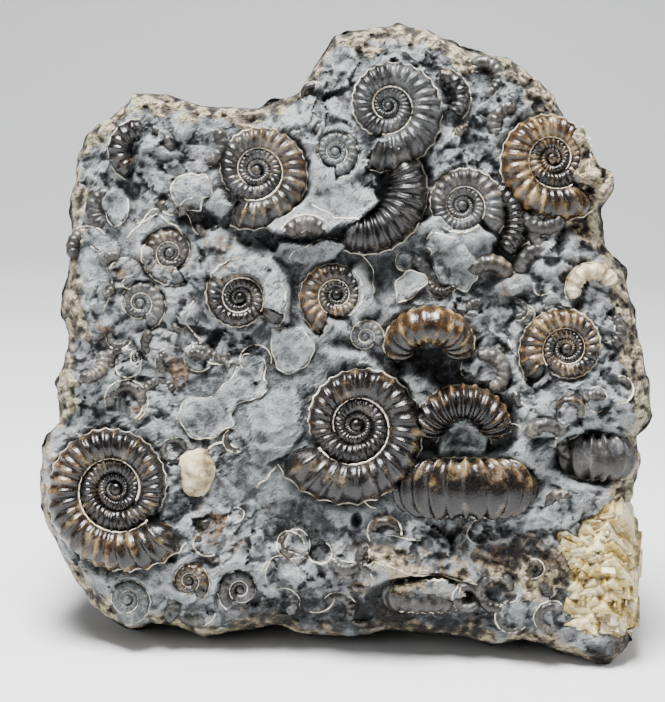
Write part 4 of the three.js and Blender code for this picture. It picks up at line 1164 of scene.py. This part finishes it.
def build_crystals():
    """Rhombs on the corner's front and round its right side, larger ones deeper, on a bed that fills
    the corner behind them."""
    random = np.random.default_rng(7)
    s, t = random.uniform(40, 61.5, 2600), random.uniform(3, 32, 2600)
    keep = polygon_depth(s, t, CORNER) > 0.9
    s, t = s[keep][:170], t[keep][:170]
    deep = random.uniform(0, 1, len(s)) ** 2
    past = smoothstep(53.5, 60.5, s)
    sugary = smoothstep(49, 44.5, s - 0.35 * (t - 16))
    sizes = (5.4 + 3.0 * random.uniform(0, 1, len(s)) ** 1.5) * (1 - 0.5 * sugary)
    sizes = sizes * (0.45 + 0.55 * smoothstep(4, 13, t))
    n = 0.2 * sugary - 0.1 - 9.5 * past - 6 * deep * past - 0.7 * sizes
    n = n + 0.8 * noise(np.stack([s, t], -1), 6, 9)
    middles = np.stack([s - 0.3 * sizes * past, t, n], -1)
    points, quads, tone = rhombs(middles, sizes, random)
    block = np.concatenate([CORNER * 0.86 + np.array([50, 16.6]) * 0.14] * 2)
    count = len(CORNER)
    bed = np.column_stack([block, np.repeat([-15.0, -4.5], count)])
    ring = np.arange(count)
    start = len(points)
    wall = start + np.stack([ring, np.roll(ring, -1), count + np.roll(ring, -1), count + ring], -1)
    poles = np.array([[50, 16.6, -15.0], [50, 16.6, -4.5]])
    end = start + 2 * count
    caps = np.concatenate([fan_faces(end, start + ring, True), fan_faces(end + 1, start + count + ring)])
    points = np.concatenate([points, bed, poles])
    tone = np.concatenate([tone, np.full((2 * count + 2, 3), 0.4)])
    return points, np.concatenate([quads, wall]), caps, tone


points, quads, triangles, tone = build_crystals()
crystal_points = from_face(points)
crystal_points[:, 2] = np.maximum(crystal_points[:, 2], CLEAR_OF_BASE)
crystals = new_mesh("honey_calcite_rhombs", crystal_points, quads, triangles, tone, smooth=False)
bevel = crystals.modifiers.new("worn_edges", "BEVEL")
bevel.width = WORN_EDGE
bevel.segments = 2
print("crystals:", (len(quads) - len(CORNER)) // 6)

# %% [markdown]
# The cream nodule at the left is one lump of calcite, worn round, so it is a ball pulled to an oval
# with low noise on it.

# %% Nodule
NODULE_AT = (-29.4, 39.4, 0.2)
NODULE_HALF = (3.9, 4.9, 2.5)


def nodule_surface():
    """Ball in angles, scaled to the half-widths, each point pushed out by noise."""
    around, rows = 72, 44
    up = np.linspace(-math.pi / 2, math.pi / 2, rows + 2)[1:-1, None]
    turn = np.linspace(0, 2 * math.pi, around, endpoint=False)[None, :]
    ball = np.stack([np.cos(up) * np.cos(turn), np.cos(up) * np.sin(turn), np.sin(up) + 0 * turn], -1)
    swell = 1 + 0.13 * rough(ball, 0.8, 12) + 0.1 * chips(ball[..., :2], 0.5, 13)
    points = ball * swell[..., None] * NODULE_HALF + NODULE_AT
    tone = np.repeat(rough(ball, 0.5, 14)[..., None] * 0.5 + 0.5, 3, axis=-1)
    return closed_tube(points, tone, False)


points, quads, triangles, tone = nodule_surface()
nodule = new_mesh("cream_calcite_nodule", from_face(points), quads, triangles, tone)

# %% [markdown]
# ## Finishes
# Colours are written as hex, as a painter would note them, and one function turns them to the linear
# values that light works in. One helper adds any node, gives it its settings and fills its inputs. Most
# patterns are noise, whose scale is one over the size in millimetres of its features on the real thing.
# A Map Range node takes a value, the range that it comes from and the range that it goes to, and a Mix
# node for colours has its share at input 0, its two colours at 6 and 7 and its result at output 2.

# %% Node helpers


def linear(code, alpha=1.0):
    """Hex sRGB to linear: c / 12.92 below 0.04045, else ((c + 0.055) / 1.055) ** 2.4."""
    parts = [int(code[k:k + 2], 16) / 255 for k in (1, 3, 5)]
    return (*(c / 12.92 if c <= 0.04045 else ((c + 0.055) / 1.055) ** 2.4 for c in parts), alpha)


def add(tree, kind, inputs=(), stops=(), **settings):
    """Add a node. Its inputs, a list in their order or a dictionary, take values, outputs or whole nodes,
    whose first output is then meant. A ramp's stops are pairs of a place and a hex colour."""
    made = tree.nodes.new("ShaderNode" + kind)
    for key, value in settings.items():
        setattr(made, key, value)
    for key, value in inputs.items() if isinstance(inputs, dict) else enumerate(inputs):
        value = value.outputs[0] if isinstance(value, bpy.types.Node) else value
        if isinstance(value, bpy.types.NodeSocket):
            tree.links.new(value, made.inputs[key])
        else:
            made.inputs[key].default_value = value
    while stops and len(made.color_ramp.elements) < len(stops):
        made.color_ramp.elements.new(0.5)
    for k, (place, code) in enumerate(stops):
        made.color_ramp.elements[k].position = place
        made.color_ramp.elements[k].color = linear(code)
    return made


def start_material(name):
    """An empty material with its shader and output, and the object's coordinates."""
    material = bpy.data.materials.new(name)
    material.use_nodes = True
    tree = material.node_tree
    tree.nodes.clear()
    shader = add(tree, "BsdfPrincipled")
    add(tree, "OutputMaterial", {"Surface": shader})
    where = add(tree, "TexCoord").outputs["Object"]
    return material, tree, shader, where


# %% [markdown]
# Limestone: a fine lime mud turned to stone. Worked with small air tools it is smooth and softly shiny,
# blue-grey with paler bruises. Where it was left alone it weathered to a cream crust like coarse sugar.
# Its real grain is finer than a tenth of a millimetre, too fine to show, so it is drawn coarser here.

# %% Colours of the limestone


def bare_stone(tree, dark, cloud, grain, fine):
    """Worked stone with painted shade: pale where it is high and dark in cracks, with pale flecks on the
    raised grain that are partly painted highlight, and dark specks.
    """
    clouded = add(tree, "Math", [dark, add(tree, "MapRange", [cloud, 0.3, 0.7, 0.1, -0.1])])
    depth = add(tree, "Math", [clouded, add(tree, "MapRange", [grain, 0.35, 0.65, 0.1, -0.1])])
    # Painted shade: the ramp runs to near black where the stored shade is deep
    colour = add(tree, "ValToRGB", [depth], [
        (0.0, "#a3a8a9"), (0.25, "#777b7d"), (0.43, "#484b4d"), (0.8, "#131415")])
    # Pale flecks where the grain stands high: partly the stone's own pale flecks, partly painted highlight
    # on the raised grain
    fleck_and_highlight = add(tree, "MapRange", [grain, 0.52, 0.74, 0, 0.45])
    colour = add(tree, "Mix", {0: fleck_and_highlight, 6: colour, 7: linear("#9a9d9e")}, data_type="RGBA").outputs[2]
    speck = add(tree, "MapRange", [fine, 0.35, 0.5, 0.45, 0])
    return add(tree, "Mix", {0: speck, 6: colour, 7: linear("#1f2224")}, data_type="RGBA").outputs[2]


def weathered_crust(tree, where, dark, fine):
    """Crust: cream clumps, brown between them and near black in the hollows as painted shade, and darker in
    its pores, where the fine bump is low.
    """
    clumps = add(tree, "TexNoise", {"Vector": where, "Scale": 1 / (2.2 * MM), "Detail": 6, "Roughness": 0.6})
    # The stored painted shade darkens the crust in its hollows
    depth = add(tree, "Math", [dark, add(tree, "MapRange", [clumps, 0.35, 0.65, 0.4, -0.35])])
    colour = add(tree, "ValToRGB", [depth], [
        (0.0, "#b9ac90"), (0.2, "#867a63"), (0.4, "#50473a"), (0.75, "#171411")])
    # Darker in the pores, where the fine noise of the bump is low
    pore_dark = add(tree, "MapRange", [fine, 0.3, 0.48, 0.5, 0])
    return add(tree, "Mix", {0: pore_dark, 6: colour, 7: linear("#3c3329")}, data_type="RGBA").outputs[2]


# %% Relief of the limestone


def stone_relief(tree, where, crust, grain, fine):
    """Bump: the grain, facets 2.6 mm wide and, by the share of crust, sugary cells 0.9 mm wide."""
    sugar = add(tree, "TexVoronoi", {"Vector": where, "Scale": 1 / (0.9 * MM)})
    facets = add(tree, "TexVoronoi", {"Vector": where, "Scale": 1 / (2.6 * MM)})
    thick = add(tree, "Math", [crust, 1.8], operation="MULTIPLY")
    sugary = add(tree, "Math", [sugar, thick], operation="MULTIPLY")
    grainy = add(tree, "Math", [add(tree, "Math", [grain, fine]), sugary])
    height = add(tree, "Math", [grainy, facets])
    return add(tree, "Bump", {"Strength": 0.9, "Distance": 0.9 * MM, "Height": height}).outputs[0]


# %% Limestone


def limestone():
    """Bare stone, crust by the first stored share, painted shade by the second and rust stains by the third.
    """
    material, tree, shader, where = start_material("worked_limestone")
    stored = add(tree, "Attribute", attribute_name="tone")
    # dark is the painted shade stored on the points
    crust, dark, brown = add(tree, "SeparateColor", [stored]).outputs
    cloud = add(tree, "TexNoise", {"Vector": where, "Scale": 1 / (9 * MM), "Detail": 4, "Roughness": 0.6})
    grain = add(tree, "TexNoise", {"Vector": where, "Scale": 1 / (1.3 * MM), "Detail": 6, "Roughness": 0.6})
    fine = add(tree, "TexNoise", {"Vector": where, "Scale": 1 / (0.35 * MM), "Detail": 6, "Roughness": 0.6})
    bare = bare_stone(tree, dark, cloud, grain, fine)
    cream = weathered_crust(tree, where, dark, fine)
    ragged = add(tree, "Math", [crust, add(tree, "MapRange", [grain, 0.35, 0.65, -0.35, 0.35])])
    crusted = add(tree, "MapRange", [ragged, 0.3, 0.6])
    colour = add(tree, "Mix", {0: crusted, 6: bare, 7: cream}, data_type="RGBA").outputs[2]
    rust = add(tree, "ValToRGB", [grain], [(0.35, "#2a1d14"), (0.5, "#5c412b"), (0.66, "#957b5c")])
    blotched = add(tree, "Math", [brown, add(tree, "MapRange", [grain, 0.35, 0.65, -0.2, 0.2])])
    stained = add(tree, "MapRange", [blotched, 0.25, 0.7, 0, 0.9])
    colour = add(tree, "Mix", {0: stained, 6: colour, 7: rust}, data_type="RGBA").outputs[2]
    tree.links.new(colour, shader.inputs["Base Color"])
    worked = add(tree, "MapRange", [grain, 0.35, 0.65, 0.3, 0.55])
    gloss = add(tree, "Math", [worked, add(tree, "MapRange", [crust, 0, 1, 0, 0.3])])
    tree.links.new(gloss.outputs[0], shader.inputs["Roughness"])
    shader.inputs["IOR"].default_value = 1.5
    tree.links.new(stone_relief(tree, where, crust, grain, fine), shader.inputs["Normal"])
    return material


# %% [markdown]
# Shell: the ammonites' shells dissolved and calcite took their place. It is glassy and slightly clear,
# so light sinks in: black-brown where it is full of dark stone, honey where it is clean. Its gloss comes
# from a hand polish. The three kinds of shell differ only in their colours, gloss and clearness.

# %% Colours of the calcite shell


def shell_colour(tree, honey, rib, grey, cloud, fine, dark, middle, honey_low, honey_high):
    """Clouds from dark to middle, honey by one share, dust by another, and near black painted shade between
    the ribs.
    """
    colour = add(tree, "ValToRGB", [cloud], [(0.36, dark), (0.62, middle)])
    # Painted highlight: the honey is a little paler on the rib crests
    lit = add(tree, "Math", [cloud, add(tree, "MapRange", [rib, 0, 1, -0.06, 0.06])])
    amber = add(tree, "ValToRGB", [lit], [(0.34, "#2a1a0e"), (0.5, honey_low), (0.66, honey_high)])
    patchy = add(tree, "Math", [honey, add(tree, "MapRange", [cloud, 0.35, 0.65, -0.3, 0.3])])
    clean = add(tree, "MapRange", [patchy, 0.2, 0.8])
    colour = add(tree, "Mix", {0: clean, 6: colour, 7: amber}, data_type="RGBA").outputs[2]
    dust = add(tree, "ValToRGB", [fine], [(0.3, "#2f3235"), (0.55, "#5f6467"), (0.75, "#97988f")])
    settled = add(tree, "Math", [grey, add(tree, "MapRange", [cloud, 0.35, 0.65, -0.35, 0.35])])
    dusty = add(tree, "MapRange", [settled, 0.2, 0.95, 0, 0.85])
    colour = add(tree, "Mix", {0: dusty, 6: colour, 7: dust}, data_type="RGBA").outputs[2]
    # Painted shade: near black in the creases between the ribs
    furrow_shade = add(tree, "MapRange", [rib, 0, 0.5, 0.55, 0])
    return add(tree, "Mix", {0: furrow_shade, 6: colour, 7: linear("#0b0908")}, data_type="RGBA").outputs[2]


# %% Calcite shell


def calcite_shell(name, colours, gloss, clearness):
    """Polished calcite in four colours, rougher where dust lies, with light that sinks in a little."""
    material, tree, shader, where = start_material(name)
    stored = add(tree, "Attribute", attribute_name="tone")
    honey, rib, grey = add(tree, "SeparateColor", [stored]).outputs
    cloud = add(tree, "TexNoise", {"Vector": where, "Scale": 1 / (4 * MM), "Detail": 5, "Roughness": 0.6})
    fine = add(tree, "TexNoise", {"Vector": where, "Scale": 1 / (0.5 * MM), "Detail": 4, "Roughness": 0.6})
    colour = shell_colour(tree, honey, rib, grey, cloud, fine, *colours)
    tree.links.new(colour, shader.inputs["Base Color"])
    polish = add(tree, "MapRange", [fine, 0.3, 0.7, gloss - 0.07, gloss + 0.12])
    roughness = add(tree, "Math", [polish, add(tree, "MapRange", [grey, 0, 1, 0, 0.28])])
    tree.links.new(roughness.outputs[0], shader.inputs["Roughness"])
    shader.inputs["IOR"].default_value = 1.48
    shader.inputs["Subsurface Weight"].default_value = clearness
    shader.inputs["Subsurface Radius"].default_value = (0.0016, 0.0008, 0.0003)
    shader.inputs["Coat Weight"].default_value = 0.12
    shader.inputs["Coat Roughness"].default_value = 0.16
    height = add(tree, "Math", [cloud, add(tree, "Math", [fine, 0.5], operation="MULTIPLY")])
    bump = add(tree, "Bump", {"Strength": 0.35, "Distance": 0.3 * MM, "Height": height})
    tree.links.new(bump.outputs[0], shader.inputs["Normal"])
    return material


# %% [markdown]
# The cut shell walls are dense white calcite with a satin face. The crystals are cloudy honey calcite,
# with a glassy face on every cleavage, and the nodule is the same mineral, opaque and cream.

# %% White shell


def white_shell():
    """Satin cream-white calcite with faint stains."""
    material, tree, shader, where = start_material("white_shell_calcite")
    stains = add(tree, "TexNoise", {"Vector": where, "Scale": 1 / (1.6 * MM), "Detail": 4, "Roughness": 0.6})
    colour = add(tree, "ValToRGB", [stains], [(0.35, "#a9997c"), (0.5, "#d9cfba"), (0.66, "#f0eadc")])
    tree.links.new(colour.outputs[0], shader.inputs["Base Color"])
    shader.inputs["Roughness"].default_value = 0.45
    return material


# %% Honey calcite


def honey_calcite():
    """Cloudy honey crystal: each rhomb has its own tint, light sinks in, and the faces are glassy."""
    material, tree, shader, where = start_material("honey_calcite_crystal")
    stored = add(tree, "Attribute", attribute_name="tone")
    tint, pale, _ = add(tree, "SeparateColor", [stored]).outputs
    cloud = add(tree, "TexNoise", {"Vector": where, "Scale": 1 / (2 * MM), "Detail": 5, "Roughness": 0.6})
    tinted = add(tree, "Math", [cloud, add(tree, "MapRange", [tint, 0, 1, -0.2, 0.2])])
    colour = add(tree, "ValToRGB", [tinted], [
        (0.3, "#5c4a22"), (0.42, "#9c823e"), (0.54, "#c8b06c"), (0.7, "#e9ddb2")])
    milky = add(tree, "MapRange", [pale, 0.6, 1, 0, 0.5])
    colour = add(tree, "Mix", {0: milky, 6: colour, 7: linear("#ddd5bf")}, data_type="RGBA").outputs[2]
    tree.links.new(colour, shader.inputs["Base Color"])
    gloss = add(tree, "MapRange", [cloud, 0.35, 0.65, 0.16, 0.42])
    tree.links.new(gloss.outputs[0], shader.inputs["Roughness"])
    shader.inputs["IOR"].default_value = 1.6
    shader.inputs["Transmission Weight"].default_value = 0.12
    shader.inputs["Subsurface Weight"].default_value = 0.3
    shader.inputs["Subsurface Radius"].default_value = (0.002, 0.0014, 0.0006)
    bump = add(tree, "Bump", {"Strength": 0.3, "Distance": 0.2 * MM, "Height": cloud})
    tree.links.new(bump.outputs[0], shader.inputs["Normal"])
    return material


# %% Cream calcite and backdrop paper


def cream_calcite():
    """Opaque cream nodule with tan veins."""
    material, tree, shader, where = start_material("cream_calcite")
    veins = add(tree, "TexNoise", {"Vector": where, "Scale": 1 / (2.4 * MM), "Detail": 6, "Roughness": 0.6})
    colour = add(tree, "ValToRGB", [veins], [
        (0.34, "#6a5940"), (0.46, "#a59272"), (0.58, "#c8ba9b"), (0.72, "#e2d8c2")])
    tree.links.new(colour.outputs[0], shader.inputs["Base Color"])
    shader.inputs["Roughness"].default_value = 0.38
    shader.inputs["Subsurface Weight"].default_value = 0.15
    shader.inputs["Subsurface Radius"].default_value = (0.001, 0.0008, 0.0005)
    pits = add(tree, "TexNoise", {"Vector": where, "Scale": 1 / (0.8 * MM), "Detail": 4, "Roughness": 0.6})
    bump = add(tree, "Bump", {"Strength": 0.5, "Distance": 0.4 * MM, "Height": pits})
    tree.links.new(bump.outputs[0], shader.inputs["Normal"])
    return material


def backdrop_paper():
    """Plain pale matt paper."""
    material, tree, shader, _ = start_material("pale_backdrop_paper")
    shader.inputs["Base Color"].default_value = linear("#d9dadb")
    shader.inputs["Roughness"].default_value = 0.9
    return material


# %% Give each piece its finish
# Each shell's colours: dark, middle, low honey and high honey
BLACK_COLOURS = ("#060505", "#181310", "#3a2a18", "#7c6644")
HONEY_COLOURS = ("#0b0806", "#221911", "#46331c", "#9a7f54")
GREY_COLOURS = ("#181715", "#3a352f", "#4f3f2d", "#8e7858")
FINISHES = {
    "limestone": limestone(),
    "black_shell": calcite_shell("black_calcite_shell", BLACK_COLOURS, gloss=0.24, clearness=0.03),
    "honey_shell": calcite_shell("honey_calcite_shell", HONEY_COLOURS, gloss=0.22, clearness=0.08),
    "grey_shell": calcite_shell("grey_calcite_shell", GREY_COLOURS, gloss=0.26, clearness=0.03),
    "honey_calcite": honey_calcite(),
    "cream_calcite": cream_calcite(),
}
slots = {part["node"]: part["material_slot"] for part in frame["record"]["subparts"]}
print("finishes:", len(FINISHES))


def hand_over(piece, slot, node=None):
    """Give a piece its finish, let it ride on the one body, and hide the solid that it stands for."""
    piece.data.materials.append(FINISHES[slot])
    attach(piece, "root")
    if node:
        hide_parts(node)


hand_over(stone, "limestone", "matrix")
for name, shell in shells.items():
    hand_over(shell, slots[name], name)
hand_over(fragments, "grey_shell")
hand_over(crystals, "honey_calcite", "calcite_crystals")
hand_over(nodule, "cream_calcite", "calcite_nodule")
# The lines have no slot of their own in the record, so they get a white calcite finish of their own
lines.data.materials.append(white_shell())
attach(lines, "root")

# %% [markdown]
# ## Floor and backdrop
# One sheet of paper lies under the block and sweeps up behind it, so no corner shows.

# %% Paper sweep


def paper_sweep():
    """Level floor, then a quarter circle, then an upright wall, carried sideways."""
    level = np.array([(-1.4, 0.0), (0.5, 0.0)])
    bend = np.linspace(0, math.pi / 2, 12)[1:]
    curve = np.stack([0.5 + 0.4 * np.sin(bend), 0.4 - 0.4 * np.cos(bend)], -1)
    profile = np.concatenate([level, curve, [(0.9, 1.6)]])
    points = np.array([(x, y, z) for y, z in profile for x in (-1.6, 1.6)])
    return points, grid_faces(len(profile), 2)


points, quads = paper_sweep()
floor = new_mesh("paper_sweep", points, quads)
floor.data.materials.append(backdrop_paper())
